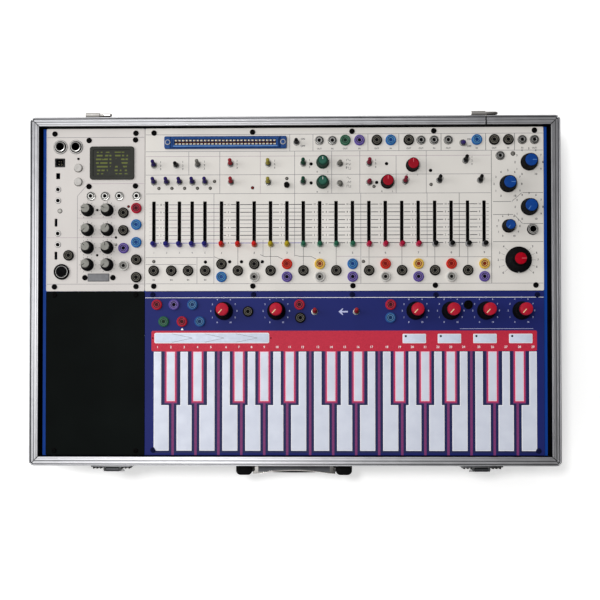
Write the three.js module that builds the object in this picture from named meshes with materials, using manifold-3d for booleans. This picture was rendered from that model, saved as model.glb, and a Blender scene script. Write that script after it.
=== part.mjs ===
// Modular synthesizer in the base of an aluminium-edged case, in millimetres, +Z up.
// The floor is z = 0, +X points right along the keyboard and +Y to the hinges.
import * as THREE from "three";
import { mergeVertices } from "three/addons/utils/BufferGeometryUtils.js";
import Module from "manifold-3d";

const wasm = await Module();
wasm.setup();

// Panels
const moduleWidth = 107.95;
const wideCount = 4;
const rowCount = 2;
const panelHeight = 177.8;
const panelThickness = 2;
const panelSeam = 0.4;

// Clearances
const seat = 0.3;
const runningGap = 0.4;
const overrun = 1;

// Case
const baseHeight = 92;
const panelDrop = 6;
const wallThickness = 6.4;
const floorThickness = 6.4;
const caseCorner = 5;
const footHeight = 5;
const footRadius = 11;
const footInset = 36;

// Rim extrusion
const rimWidth = 10;
const rimSkin = 1.2;
const outerFlange = 24;
const innerFlange = 12;
const grooveStart = 1.7;
const grooveWidth = 4;
const grooveDepth = 1.6;
const grooveFloor = 1.8;
const cutWidth = 0.5;
const mitreDepth = 1;
const seamShare = 0.36129;
const mitreTurn = 45;

// Chassis pan
const flangeShow = 3.6;
const flangeUnder = 4;
const sheet = 1.5;
const sideSpace = 3;
const endSpace = 1;
const endFlange = 9;
const railWidth = 22;

// Hinges
const hingeShares = [-0.3674, 0.36042];
const knuckleLength = 15.4;
const knuckleRadius = 2.8;
const hingePinLength = 13.2;
const hingePinRadius = 1.9;
const leafThickness = 1.2;
const leafHeight = 18;

// Latches
const latchShares = [-0.34383, 0.35256];
const latchPlateWidth = 45;
const latchPlateHeight = 20;
const latchPlateThickness = 1.4;
const leverWidth = 14.4;
const leverLength = 32;
const leverThickness = 1.5;
const leverFlare = 2.6;
const barrelRadius = 2.5;
const latchPinRadius = 1.1;
const earThickness = 2;
const latchPinDrop = 9;

// Handle
const handleX = 55;
const handleBlockWidth = 17.8;
const handleBlockDepth = 13.4;
const handleBlockHeight = 22;
const handleBlockCorner = 5;
const handlePivotRadius = 2.6;
const handlePivotReach = 8;
const bailDepth = 9.6;
const bailHollow = 3.4;
const bailThickness = 2.4;
const bailArm = 5;
const bailDrop = 27;
const gripRadius = 4.6;
const gripSwell = 0.8;

// Sliders
const leadCount = 5;
const leadStartShare = 0.0227;
const leadPitchShare = 0.03219;
const gridCount = 17;
const gridStartShare = 0.19314;
const gridPitchShare = 0.04113;
const slotWidth = 3.8;
const slotLengthShare = 0.279;
const slotCentreShare = 0.4106;
const slotEnd = 3.55;
const sliderLeverWidth = 2;
const sliderLeverLength = 4;
const sliderCapRadius = 2.8;
const sliderCapBase = 2.6;
const sliderCapTop = 12.4;
const potWidth = 9;
const potEnd = 4.2;
const potHeight = 8;
const boardThickness = 1.6;

// Rotary knobs: radius, radius at the top, height, skirt radius and skirt height
const smallKnob = { radius: 6.7, top: 5.5, height: 13, skirt: 6.9, skirtHeight: 2.2 };
const middleKnob = { radius: 7, top: 5.8, height: 13, skirt: 7.2, skirtHeight: 2.2 };
const largeKnob = { radius: 8.9, top: 7.3, height: 14, skirt: 9.2, skirtHeight: 2.4 };
const masterKnob = { radius: 7, top: 6.3, height: 17, skirt: 14.2, skirtHeight: 6 };
const keyboardKnob = { radius: 7.2, top: 6.6, height: 24.5, skirt: 10, skirtHeight: 9 };
const fixedKnob = { radius: 4.7, top: 4.2, height: 12.5, skirt: 7, skirtHeight: 3.4 };
const knobEdge = 0.9;
const knobTaper = 0.5;
const shaftRadius = 3;
const shaftDepth = 7;
const rotaryPotRadius = 8.2;
const rotaryPotHeight = 8;

// Sockets
const patchSocket = { radius: 5.7, height: 3, bore: 2 };
const smallSocket = { radius: 4.6, height: 2.4, bore: 1.8 };
const socketFloor = 0.6;
const jackBore = 3.5;
const jackBush = 5.4;
const jackNut = 7.4;
const phonesNut = 6.2;
const jackNutHeight = 3;
const jackBodyDepth = 22;
const jackBodyWidth = 15.6;
const jackFloor = 2;
const usbWidth = 11.8;
const usbHeight = 10.4;
const usbWall = 1.5;
const usbDepth = 16;
const dinRadius = 8.6;
const dinHeight = 2.2;
const dinRecess = 6.6;
const dinRecessDepth = 1.2;

// Switches
const bushRadius = 3.2;
const bushHeight = 4;
const leverTipRadius = 1.9;
const leverRootRadius = 1.3;
const leverReach = 9.5;
const leverTilt = 0.21;
const ballRadius = 1.9;
const bushBore = 2.4;
const programButton = { radius: 4.2, height: 4.4 };
const voiceButton = { radius: 3, height: 5 };
const buttonCollar = 0.9;
const buttonStem = 4;

// Card connector and display
const connectorShare = 0.308;
const connectorDepth = 13.5;
const connectorHeight = 4.5;
const connectorBody = 7.2;
const cardSlotEnd = 11.5;
const cardSlotDepth = 5.8;
const connectorWall = 1.6;
const displayWidthShare = 0.4484;
const displayHeightShare = 0.2036;
const displayThickness = 1.8;
const displayFrame = 4;
const displayRecess = 0.7;
const displayCorner = 3;

// Touch keyboard
const padHeight = 0.4;
const naturalCount = 17;
const naturalPitchShare = 0.05746;
const naturalWidthShare = 0.038;
const stemWidthShare = 0.0188;
const sharpWidthShare = 0.0213;
const keyLeftShare = 0.02316;
const keyBottomShare = 0.0281;
const keyShoulderShare = 0.306;
const sharpEndShare = 0.3296;
const keyTopShare = 0.631;
const stripWidthShare = 0.28856;
const stripHeight = 11.4;
const stripLeftShare = 0.02455;
const stripMiddleShare = 0.7143;
const boxWidthShare = 0.06068;
const boxHeight = 10.2;

// Power supply
const supplyWidthShare = 0.852;
const supplyLengthShare = 0.8436;
const supplyBase = 3;
const transformerShares = [0.52, 0.4, 0.78];
const supplyHeight = 50;
const capacitorRadius = 11;
const capacitorHeight = 34;

// Facets
const cornerSteps = 2;
const socketSides = 7;
const boreSides = 4;
const toggleSides = 4;
const sliderSides = 6;
const knobSides = 10;
const curveSteps = 5;
const shaftSides = 6;
const jackSides = 10;
const footSides = 12;

// Overall sizes that follow
const wideWidth = moduleWidth * wideCount;
const fieldWidth = moduleWidth + wideWidth;
const fieldDepth = panelHeight * rowCount;
const chassisWidth = fieldWidth + flangeShow * 2;
const openingWidth = chassisWidth + sideSpace * 2;
const openingDepth = fieldDepth + endSpace * 2;
const caseWidth = openingWidth + rimWidth * 2;
const caseDepth = openingDepth + rimWidth * 2;
const trayInset = rimSkin + seat;
const trayDepth = caseDepth - trayInset * 2;
const trayTop = baseHeight - grooveDepth - grooveFloor - seat;
const panelTop = baseHeight - panelDrop;
const flangeTop = panelTop - panelThickness - seat;
const trayFloorTop = footHeight + floorThickness;
const chassisFloor = trayFloorTop + seat;
const moduleX = moduleWidth / 2 - fieldWidth / 2;
const wideX = fieldWidth / 2 - wideWidth / 2;
const rowY = panelHeight / 2;
const hingeX = hingeShares.map((share) => share * caseWidth);
const latchX = latchShares.map((share) => share * caseWidth);
const seamX = seamShare * caseWidth;
const slotLength = panelHeight * slotLengthShare;
const sliderTravel = slotLength - slotEnd * 2;
const potLength = slotLength + potEnd * 2;
const connectorWidth = wideWidth * connectorShare;
const cardSlotWidth = connectorWidth - cardSlotEnd * 2;
const displayWidth = moduleWidth * displayWidthShare;
const displayHeight = panelHeight * displayHeightShare;
const naturalWidth = wideWidth * naturalWidthShare;
const naturalPitch = wideWidth * naturalPitchShare;
const stemWidth = wideWidth * stemWidthShare;
const sharpWidth = wideWidth * sharpWidthShare;
const keyLeft = wideWidth * keyLeftShare;
const keyBottom = panelHeight * keyBottomShare;
const keyShoulder = panelHeight * keyShoulderShare;
const sharpEnd = panelHeight * sharpEndShare;
const keyTop = panelHeight * keyTopShare;
const stripWidth = wideWidth * stripWidthShare;
const stripLeft = wideWidth * stripLeftShare;
const stripMiddle = panelHeight * stripMiddleShare;
const boxWidth = wideWidth * boxWidthShare;
const supplyWidth = moduleWidth * supplyWidthShare;
const supplyLength = panelHeight * supplyLengthShare;

// Places as shares of a panel's width and height, from its lower left corner
const topJackShare = 0.92;
const singleJackShare = 0.125;
const upperJackShare = 0.165;
const lowerJackShare = 0.087;
const leadJackShares = [0.0226, 0.067, 0.109, 0.152];
const topPatchShares = [0.504, 0.5395, 0.583, 0.618, 0.663, 0.833, 0.8765, 0.9115];
const topSmallShares = [0.439, 0.4715, 0.694, 0.7265, 0.762, 0.9465, 0.977];
const spareSmallShares = [0.8915, 0.823];
const phonesShares = [0.9715, 0.373];
const voiceToggleShares = [
  [0.0226, 0.77], [0.0786, 0.77], [0.133, 0.772], [0.2155, 0.776], [0.31, 0.776],
  [0.398, 0.778], [0.49, 0.776], [0.5635, 0.778], [0.8045, 0.793],
  [0.0226, 0.665], [0.055, 0.665], [0.0872, 0.665], [0.1195, 0.665], [0.1515, 0.665],
  [0.2165, 0.665], [0.31, 0.663], [0.398, 0.665], [0.49, 0.657], [0.5635, 0.662],
  [0.654, 0.667], [0.739, 0.673], [0.841, 0.673], [0.381, 0.908], [0.7975, 0.902],
];
const voiceKnobShares = [
  ["green_knob_1", 0.447, 0.785, smallKnob],
  ["green_knob_2", 0.447, 0.662, smallKnob],
  ["red_knob_1", 0.672, 0.765, smallKnob],
  ["red_knob_2", 0.609, 0.663, smallKnob],
  ["blue_knob_1", 0.963, 0.782, largeKnob],
  ["blue_knob_2", 0.9105, 0.6495, largeKnob],
  ["blue_knob_3", 0.963, 0.509, largeKnob],
  ["blue_knob_4", 0.9115, 0.3925, middleKnob],
  ["master_knob", 0.9355, 0.187, masterKnob],
];
const voiceButtonShares = [0.357, 0.647];
const connectorShares = [0.203, 0.9085];
const jackPairShares = [[0.1435, 0.8865], [0.3005, 0.8865]];
const usbShares = [0.139, 0.79];
const dinShares = [0.16, 0.12];
const displayShares = [0.6675, 0.786];
const programButtonShares = [["push_button_1", 0.325, 0.757], ["push_button_2", 0.325, 0.6715]];
const programSmallShares = [
  [0.12, 0.6255], [0.12, 0.5575], [0.12, 0.355], [0.12, 0.287],
  [0.453, 0.584], [0.596, 0.584], [0.7395, 0.584], [0.915, 0.584],
];
const programPatchShares = [
  [0.784, 0.481], [0.914, 0.509], [0.784, 0.373], [0.914, 0.408], [0.786, 0.264],
  [0.914, 0.2995], [0.786, 0.1575], [0.914, 0.1935], [0.914, 0.086], [0.231, 0.2205],
];
const fixedKnobColumnShares = [0.421, 0.62];
const fixedKnobRowShares = [0.498, 0.377, 0.268, 0.163];
const keyboardPatchShares = [
  [0.031, 0.9175], [0.074, 0.9175], [0.1205, 0.9175], [0.048, 0.8145], [0.0943, 0.8145],
  [0.139, 0.8145], [0.26, 0.8755], [0.389, 0.917], [0.391, 0.837], [0.617, 0.916],
  [0.6165, 0.837],
];
const keyboardSmallShares = [0.811, 0.915];
const keyboardKnobShares = [0.199, 0.331, 0.679, 0.767, 0.855, 0.943];
const keyboardKnobRowShare = 0.879;
const keyboardToggleShares = [["toggle_switch_1", 0.427], ["toggle_switch_2", 0.531]];
const keyboardToggleRowShare = 0.874;
const boxShares = [0.676, 0.7635, 0.852, 0.941];
const boxRowShare = 0.71;
const boardShares = [0.012, 0.93];
const supplyShares = [0.5, 0.5];

// Turns a closed geometry into a solid that can be joined and cut
function solid(geometry) {
  const bare = geometry.index ? geometry.toNonIndexed() : geometry.clone();
  bare.deleteAttribute("normal");
  bare.deleteAttribute("uv");
  const merged = mergeVertices(bare);
  const mesh = new wasm.Mesh({
    numProp: 3,
    vertProperties: merged.attributes.position.array,
    triVerts: new Uint32Array(merged.index.array),
  });
  return new wasm.Manifold(mesh);
}

// Turns a solid back into a geometry with flat faces
function geometryOf(body) {
  const mesh = body.getMesh();
  const geometry = new THREE.BufferGeometry();
  geometry.setAttribute("position", new THREE.BufferAttribute(mesh.vertProperties, mesh.numProp));
  geometry.setIndex(new THREE.BufferAttribute(mesh.triVerts, 1));
  const flat = geometry.toNonIndexed();
  flat.computeVertexNormals();
  return flat;
}

function joined(bodies) {
  return bodies.reduce((whole, body) => whole.add(body));
}

function cut(body, tools) {
  return tools.reduce((left, tool) => left.subtract(tool), body);
}

function block(x0, x1, y0, y1, z0, z1) {
  const box = new THREE.BoxGeometry(x1 - x0, y1 - y0, z1 - z0);
  return solid(box.translate((x0 + x1) / 2, (y0 + y1) / 2, (z0 + z1) / 2));
}

// A block centred on a point in plan
function pad([x, y], width, depth, z0, z1) {
  return block(x - width / 2, x + width / 2, y - depth / 2, y + depth / 2, z0, z1);
}

// An upright round post, or a cone where the radii differ
function post([x, y], radius, z0, z1, sides, topRadius = radius) {
  const round = new THREE.CylinderGeometry(topRadius, radius, z1 - z0, sides);
  return solid(round.rotateX(Math.PI / 2).translate(x, y, (z0 + z1) / 2));
}

// A round bar along X
function bar(x0, x1, y, z, radius, sides) {
  const round = new THREE.CylinderGeometry(radius, radius, x1 - x0, sides);
  return solid(round.rotateZ(Math.PI / 2).translate((x0 + x1) / 2, y, z));
}

function turned(points, sides) {
  const profile = points.map(([radius, z]) => new THREE.Vector2(radius, z));
  return solid(new THREE.LatheGeometry(profile, sides).rotateX(Math.PI / 2));
}

function roundedOutline(width, depth, corner) {
  const [x, y] = [width / 2 - corner, depth / 2 - corner];
  const shape = new THREE.Shape();
  shape.absarc(x, y, corner, 0, Math.PI / 2);
  shape.absarc(-x, y, corner, Math.PI / 2, Math.PI);
  shape.absarc(-x, -y, corner, Math.PI, Math.PI * 1.5);
  shape.absarc(x, -y, corner, Math.PI * 1.5, Math.PI * 2);
  return shape;
}

function plate(shape, z0, z1, steps = cornerSteps) {
  const options = { depth: z1 - z0, bevelEnabled: false, curveSegments: steps };
  return solid(new THREE.ExtrudeGeometry(shape, options).translate(0, 0, z0));
}

// The case outline drawn in by an inset, as a plate
function casePlate(inset, z0, z1) {
  const corner = Math.max(caseCorner - inset, cutWidth);
  const shape = roundedOutline(caseWidth - inset * 2, caseDepth - inset * 2, corner);
  return plate(shape, z0, z1);
}

function caseRing(inset, width, z0, z1) {
  return casePlate(inset, z0, z1).subtract(casePlate(inset + width, z0 - overrun, z1 + overrun));
}

function onPanel(width, [xShare, yShare]) {
  return [(xShare - 0.5) * width, (yShare - 0.5) * panelHeight];
}

function finish(colour, roughness, metalness) {
  return new THREE.MeshStandardMaterial({ color: colour, roughness, metalness });
}

const aluminium = () => finish(0xd4d5d6, 0.34, 0.95);
const steel = () => finish(0xc6c8ca, 0.28, 1);
const blackPlastic = () => finish(0x17181a, 0.45, 0);
const lightPanel = () => finish(0xdcd9d3, 0.5, 0.2);

function node(name, body, material, parent, place = [0, 0, 0]) {
  const mesh = new THREE.Mesh(geometryOf(body), material);
  mesh.name = name;
  mesh.position.set(...place);
  parent.add(mesh);
  return mesh;
}

// Case tray
function feet() {
  const x = caseWidth / 2 - footInset;
  const y = caseDepth / 2 - footInset;
  const places = [[x, y], [-x, y], [x, -y], [-x, -y]];
  return places.map((at) => post(at, footRadius, 0, footHeight + overrun, footSides));
}

const handleFace = -trayDepth / 2;
const handlePivotY = handleFace - handlePivotReach;
const handleTop = baseHeight - outerFlange - overrun;
const handlePivotZ = handleTop - handleBlockHeight / 2;

// Bounds in rising order, whichever side of the middle they are on
function rising(a, b) {
  return a < b ? [a, b] : [b, a];
}

// Each block's rounded back sits inside the tray wall
function handleBlocks() {
  const depth = handleBlockDepth + handleBlockCorner;
  const shape = roundedOutline(handleBlockWidth, depth, handleBlockCorner);
  const whole = plate(shape, handleTop - handleBlockHeight, handleTop);
  const y = handleFace + handleBlockCorner - depth / 2;
  return [-1, 1].map((side) => {
    const x = side * handleX;
    const mouth = x - side * (handleBlockWidth / 2 + overrun);
    const radius = handlePivotRadius + runningGap;
    const bore = bar(...rising(mouth, x), handlePivotY, handlePivotZ, radius, jackSides);
    return whole.translate([x, y, 0]).subtract(bore);
  });
}

function caseTray() {
  const floor = casePlate(trayInset, footHeight, trayTop);
  const hollow = casePlate(trayInset + wallThickness, trayFloorTop, trayTop + overrun);
  return joined([floor.subtract(hollow), ...feet(), ...handleBlocks()]);
}

// Rim extrusion with its hinge halves and latch plates
function mitreCuts() {
  const length = rimWidth * 2;
  const cutter = pad([0, 0], length * 2, cutWidth, baseHeight - mitreDepth, baseHeight + overrun);
  const x = caseWidth / 2 - rimWidth / 2;
  const y = caseDepth / 2 - rimWidth / 2;
  const sides = [-1, 1];
  const corners = sides.flatMap((across) => sides.map((along) => [across, along]));
  return corners.map(([across, along]) => {
    const turned = cutter.rotate([0, 0, mitreTurn * across * along]);
    return turned.translate([x * across, y * along, 0]);
  });
}

function hinge(x) {
  const face = caseDepth / 2;
  const [left, right] = [x - knuckleLength, x + hingePinLength];
  const [y, z] = [face + knuckleRadius, baseHeight - knuckleRadius];
  const leafBottom = baseHeight - leafHeight;
  return [
    block(left, right, face - rimSkin / 2, face + leafThickness, leafBottom, z),
    block(left, x, face, face + knuckleRadius, z - knuckleRadius, z),
    bar(left, x, y, z, knuckleRadius, jackSides),
    bar(x - overrun, right, y, z, hingePinRadius, socketSides),
  ];
}

const latchFace = -caseDepth / 2;
const latchPinY = latchFace - latchPlateThickness - barrelRadius - seat;
const latchPinZ = baseHeight - latchPinDrop;

function latchPlate(x) {
  const bottom = baseHeight - latchPlateHeight - overrun;
  const outer = latchPinY - barrelRadius;
  const inner = leverWidth / 2 + seat;
  const ears = [-1, 1].map((side) => {
    const [x0, x1] = rising(x + side * inner, x + side * (inner + earThickness));
    return block(x0, x1, outer, latchFace, latchPinZ - barrelRadius, latchPinZ + barrelRadius);
  });
  return [
    block(
      x - latchPlateWidth / 2, x + latchPlateWidth / 2,
      latchFace - latchPlateThickness, latchFace + rimSkin / 2, bottom, baseHeight - overrun,
    ),
    ...ears,
    bar(x - inner - earThickness / 2, x + inner + earThickness / 2, latchPinY, latchPinZ,
      latchPinRadius, socketSides),
  ];
}

function rimFrame() {
  const channel = wallThickness + seat * 2;
  const below = baseHeight - outerFlange - overrun;
  const whole = caseRing(0, rimWidth, baseHeight - outerFlange, baseHeight);
  const profiled = cut(whole, [
    caseRing(rimSkin, channel, below, trayTop + seat),
    caseRing(rimSkin + channel - overrun / 2, rimWidth, below, baseHeight - innerFlange),
    caseRing(grooveStart, grooveWidth, baseHeight - grooveDepth, baseHeight + overrun),
    ...mitreCuts(),
  ]);
  const seam = block(
    seamX - cutWidth / 2, seamX + cutWidth / 2, caseDepth / 2 - rimWidth - overrun,
    caseDepth / 2 + overrun, below, baseHeight + overrun,
  );
  const fittings = [...hingeX.flatMap(hinge), ...latchX.flatMap(latchPlate)];
  return joined([profiled.subtract(seam), ...fittings]);
}

function latchLever() {
  const half = leverWidth / 2;
  const barrel = bar(-half, half, 0, 0, barrelRadius, jackSides);
  const outline = new THREE.Shape();
  const [near, far] = [barrelRadius - leverThickness, barrelRadius];
  outline.moveTo(near, 0);
  outline.lineTo(far, 0);
  outline.lineTo(far, -leverLength / 2);
  outline.quadraticCurveTo(far, -leverLength * 0.8, far + leverFlare, -leverLength);
  outline.lineTo(far + leverFlare - leverThickness, -leverLength);
  outline.quadraticCurveTo(near, -leverLength * 0.8, near, -leverLength / 2);
  const options = { depth: leverWidth, bevelEnabled: false, curveSegments: cornerSteps };
  const blade = new THREE.ExtrudeGeometry(outline, options).translate(0, 0, -half);
  // The outline is drawn with x outward and y up, so it is turned to stand along X
  const turn = new THREE.Matrix4().set(0, 0, -1, 0, -1, 0, 0, 0, 0, 1, 0, 0, 0, 0, 0, 1);
  const turnedBlade = solid(blade.applyMatrix4(turn));
  const bore = bar(-half - overrun, half + overrun, 0, 0, latchPinRadius + seat, socketSides);
  return joined([barrel, turnedBlade]).subtract(bore);
}

// Handle, hanging from its pivot line
const bailHalf = handleX - handleBlockWidth / 2 - runningGap;

function bailOutline() {
  const front = -bailDepth / 2;
  const shape = new THREE.Shape();
  shape.moveTo(-bailHalf, bailDepth / 2);
  shape.lineTo(-bailHalf, front);
  shape.lineTo(-bailHalf * 0.85, front);
  shape.quadraticCurveTo(0, front + bailHollow * 2, bailHalf * 0.85, front);
  shape.lineTo(bailHalf, front);
  shape.lineTo(bailHalf, bailDepth / 2);
  return shape;
}

function handleBail() {
  const deck = plate(bailOutline(), -bailThickness / 2, bailThickness / 2, curveSteps);
  const arms = [-1, 1].map((side) => {
    const [x0, x1] = rising(side * (bailHalf - bailArm), side * bailHalf);
    return block(x0, x1, -bailDepth / 2, bailDepth / 2, -bailDrop, bailThickness / 2);
  });
  const pins = [-1, 1].map((side) => {
    const ends = rising(side * (bailHalf - bailArm / 2), side * (bailHalf + bailArm));
    return bar(...ends, 0, 0, handlePivotRadius, jackSides);
  });
  return joined([deck, ...arms, ...pins]);
}

function handleGrip() {
  const half = bailHalf - bailArm - seat;
  const curve = [
    [0, -half],
    [gripRadius, -half],
    [gripRadius + gripSwell, -half / 2],
    [gripRadius + gripSwell, half / 2],
    [gripRadius, half],
    [0, half],
  ];
  const profile = curve.map(([radius, along]) => new THREE.Vector2(radius, along));
  const round = new THREE.LatheGeometry(profile, jackSides);
  return solid(round.rotateZ(Math.PI / 2).translate(0, 0, gripRadius - bailDrop));
}

// Chassis pan with flanges that carry the panels and a middle rail
function chassis() {
  const [halfX, halfY] = [chassisWidth / 2, fieldDepth / 2];
  const side = flangeShow + flangeUnder;
  const shell = block(-halfX, halfX, -halfY, halfY, chassisFloor, flangeTop);
  const hollow = block(
    sheet - halfX, halfX - sheet, sheet - halfY, halfY - sheet,
    chassisFloor + sheet, flangeTop - sheet,
  );
  const mouth = block(
    side - halfX, halfX - side, endFlange - halfY, halfY - endFlange,
    chassisFloor + sheet, flangeTop + overrun,
  );
  const railTop = block(
    sheet / 2 - halfX, halfX - sheet / 2, -railWidth / 2, railWidth / 2,
    flangeTop - sheet, flangeTop,
  );
  const railWeb = block(
    sheet / 2 - halfX, halfX - sheet / 2, -sheet / 2, sheet / 2, chassisFloor, flangeTop,
  );
  return joined([cut(shell, [hollow, mouth]), railTop, railWeb]);
}

// Panels
function blankPlate(width) {
  const half = (width - panelSeam) / 2;
  const reach = (panelHeight - panelSeam) / 2;
  return block(-half, half, -reach, reach, -panelThickness, 0);
}

function socketBoss(at, size) {
  return post(at, size.radius, -panelThickness / 2, size.height, socketSides);
}

function socketBore(at, size) {
  return post(at, size.bore, socketFloor - panelThickness, size.height + overrun, boreSides);
}

function withSockets(body, places, size) {
  const raised = joined([body, ...places.map((at) => socketBoss(at, size))]);
  return cut(raised, places.map((at) => socketBore(at, size)));
}

// A switch that stays in one piece with its panel
function fixedToggle(at) {
  const bush = post(at, bushRadius, -panelThickness / 2, bushHeight, toggleSides);
  const lever = post([0, 0], leverRootRadius, 0, leverReach, toggleSides, leverTipRadius);
  const tilted = lever.rotate([THREE.MathUtils.radToDeg(-leverTilt), 0, 0]);
  return bush.add(tilted.translate([...at, bushHeight / 2]));
}

// The body of a rotary potentiometer under a panel, and the hole for its shaft
function rotaryPot(at) {
  const bottom = -panelThickness - rotaryPotHeight;
  return post(at, rotaryPotRadius, bottom, -panelThickness / 2, shaftSides);
}

// The hole's flats, and not only its corners, keep clear of a turning shaft
function shaftHole(at) {
  const bottom = -shaftDepth - runningGap;
  const radius = (shaftRadius + runningGap) / Math.cos(Math.PI / shaftSides);
  return post(at, radius, bottom, overrun, shaftSides);
}

function withRotaryPots(body, places) {
  return cut(joined([body, ...places.map(rotaryPot)]), places.map(shaftHole));
}

function knob(size) {
  const lift = runningGap;
  const neck = size.skirtHeight + knobTaper;
  const profile = [
    [0, lift],
    [size.skirt, lift],
    [size.skirt, size.skirtHeight],
    [size.radius, neck],
    [size.top, size.height - knobEdge],
    [size.top - knobEdge, size.height],
    [0, size.height],
  ];
  const shaft = post([0, 0], shaftRadius, -shaftDepth, size.skirtHeight, shaftSides);
  return turned(profile, knobSides).add(shaft);
}

function fixedKnobBody(at) {
  const size = fixedKnob;
  const skirt = post(at, size.skirt, -panelThickness / 2, size.skirtHeight, jackSides);
  const cap = post(at, size.radius, 0, size.height, socketSides, size.top);
  return skirt.add(cap);
}

function button(size) {
  const collar = -panelThickness - seat;
  return joined([
    post([0, 0], size.radius, collar - overrun, size.height, jackSides),
    post([0, 0], size.radius + buttonCollar, collar - buttonCollar, collar, jackSides),
    post([0, 0], size.radius / 2, collar - buttonStem, collar, boreSides),
  ]);
}

function buttonHole(at, size) {
  return post(at, size.radius + seat, -panelThickness - overrun, overrun, jackSides);
}

// Sliders stand in columns: a close group at the left, then the patch grid
function sliderColumns() {
  const lead = Array.from({ length: leadCount }, (_, i) => leadStartShare + leadPitchShare * i);
  const grid = Array.from({ length: gridCount }, (_, i) => gridStartShare + gridPitchShare * i);
  return [...lead, ...grid].map((share) => (share - 0.5) * wideWidth);
}

const slotY = (slotCentreShare - 0.5) * panelHeight;

function slider() {
  const lever = pad([0, 0], sliderLeverWidth, sliderLeverLength, potBottom() + sheet, sliderCapTop / 2);
  const cap = [
    [0, sliderCapBase],
    [sliderCapRadius - knobTaper, sliderCapBase],
    [sliderCapRadius, sliderCapTop - knobEdge],
    [sliderCapRadius - knobEdge, sliderCapTop],
    [0, sliderCapTop],
  ];
  return turned(cap, sliderSides).add(lever);
}

function potBottom() {
  return -panelThickness - seat - potHeight;
}

function gridPlaces(start, rowShare) {
  const y = (rowShare - 0.5) * panelHeight;
  const columns = sliderColumns().slice(leadCount);
  return columns.filter((_, i) => i % 2 === start).map((x) => [x, y]);
}

function voicePatchPlaces() {
  const top = topPatchShares.map((share) => onPanel(wideWidth, [share, topJackShare]));
  const lead = leadJackShares.map((share) => onPanel(wideWidth, [share, singleJackShare]));
  return [
    ...top,
    ...lead,
    ...gridPlaces(1, singleJackShare),
    ...gridPlaces(0, upperJackShare),
    ...gridPlaces(0, lowerJackShare),
  ];
}

function voicePanel() {
  const at = (shares) => onPanel(wideWidth, shares);
  const small = topSmallShares.map((share) => at([share, topJackShare]));
  const knobs = voiceKnobShares.map(([, x, y]) => at([x, y]));
  const [cx, cy] = at(connectorShares);
  const slots = sliderColumns().map((x) => {
    return pad([x, slotY], slotWidth, slotLength, -panelThickness - overrun, overrun);
  });
  const window = pad(
    [cx, cy],
    cardSlotWidth + connectorWall * 2 + seat * 2,
    cardSlotDepth + connectorWall * 2 + seat * 2,
    -panelThickness - overrun,
    overrun,
  );
  let body = withRotaryPots(blankPlate(wideWidth), knobs);
  body = withSockets(body, voicePatchPlaces(), patchSocket);
  body = withSockets(body, [...small, at(spareSmallShares)], smallSocket);
  body = joined([body, ...voiceToggleShares.map((shares) => fixedToggle(at(shares)))]);
  const holes = [jackHole(at(phonesShares)), buttonHole(at(voiceButtonShares), voiceButton)];
  return cut(body, [...slots, window, ...holes]);
}

// The hole that a jack's bush passes through
function jackHole(at) {
  return post(at, jackBush + seat, -panelThickness - overrun, overrun, jackSides);
}

// Jacks hang under the panel by their nuts
function jackBlock(places, nut) {
  const under = -panelThickness - seat;
  const [x0, x1] = [Math.min, Math.max].map((pick) => pick(...places.map(([x]) => x)));
  const y = places[0][1];
  const half = jackBodyWidth / 2;
  const body = block(x0 - half, x1 + half, y - half, y + half, under - jackBodyDepth, under);
  const bushes = places.map((at) => post(at, jackBush, under - sheet, jackNutHeight, jackSides));
  const nuts = places.map((at) => post(at, nut, seat, seat + jackNutHeight, jackSides));
  const bores = places.map((at) => {
    const bottom = under - jackBodyDepth + jackFloor;
    return post(at, jackBore, bottom, seat + jackNutHeight + overrun, jackSides);
  });
  return cut(joined([body, ...bushes, ...nuts]), bores);
}

function cardConnector() {
  const bodyX = cardSlotWidth + connectorWall * 2;
  const bodyY = cardSlotDepth + connectorWall * 2;
  const bottom = -panelThickness - connectorBody;
  const flange = pad([0, 0], connectorWidth, connectorDepth, seat, connectorHeight);
  const body = pad([0, 0], bodyX, bodyY, bottom, seat + overrun);
  const slot = pad([0, 0], cardSlotWidth, cardSlotDepth, bottom + sheet, connectorHeight + overrun);
  return flange.add(body).subtract(slot);
}

function voiceBoard() {
  const [left, right] = boardShares.map((share) => (share - 0.5) * wideWidth);
  const reach = panelHeight / 2 - endFlange - panelSeam - boardThickness;
  const near = reach - railWidth / 2;
  const top = potBottom();
  const board = block(left, right, -near, reach - endFlange, top - boardThickness, top);
  const pots = sliderColumns().map((x) => {
    const body = pad([x, slotY], potWidth, potLength, top - boardThickness / 2, top + potHeight);
    const channel = pad([x, slotY], slotWidth, slotLength, top + sheet / 2, top + potHeight + overrun);
    return body.subtract(channel);
  });
  return joined([board, ...pots]);
}

function programPanel() {
  const at = (shares) => onPanel(moduleWidth, shares);
  const knobs = fixedKnobColumnShares.flatMap((x) => fixedKnobRowShares.map((y) => at([x, y])));
  const din = at(dinShares);
  let body = withSockets(blankPlate(moduleWidth), programPatchShares.map(at), patchSocket);
  body = withSockets(body, programSmallShares.map(at), smallSocket);
  body = joined([body, ...knobs.map(fixedKnobBody)]);
  body = body.add(post(din, dinRadius, -panelThickness / 2, dinHeight, jackSides));
  const recess = post(din, dinRecess, dinHeight - dinRecessDepth, dinHeight + overrun, jackSides);
  const usb = pad(
    at(usbShares), usbWidth + seat * 2, usbHeight + seat * 2, -panelThickness - overrun, overrun,
  );
  const buttons = programButtonShares.map(([, x, y]) => buttonHole(at([x, y]), programButton));
  return cut(body, [recess, usb, ...buttons, ...jackPairShares.map((p) => jackHole(at(p)))]);
}

function usbSocket() {
  const shell = pad([0, 0], usbWidth, usbHeight, -usbDepth, seat);
  const hollow = pad(
    [0, 0], usbWidth - usbWall * 2, usbHeight - usbWall * 2, jackFloor - usbDepth, seat + overrun,
  );
  return shell.subtract(hollow);
}

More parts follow.
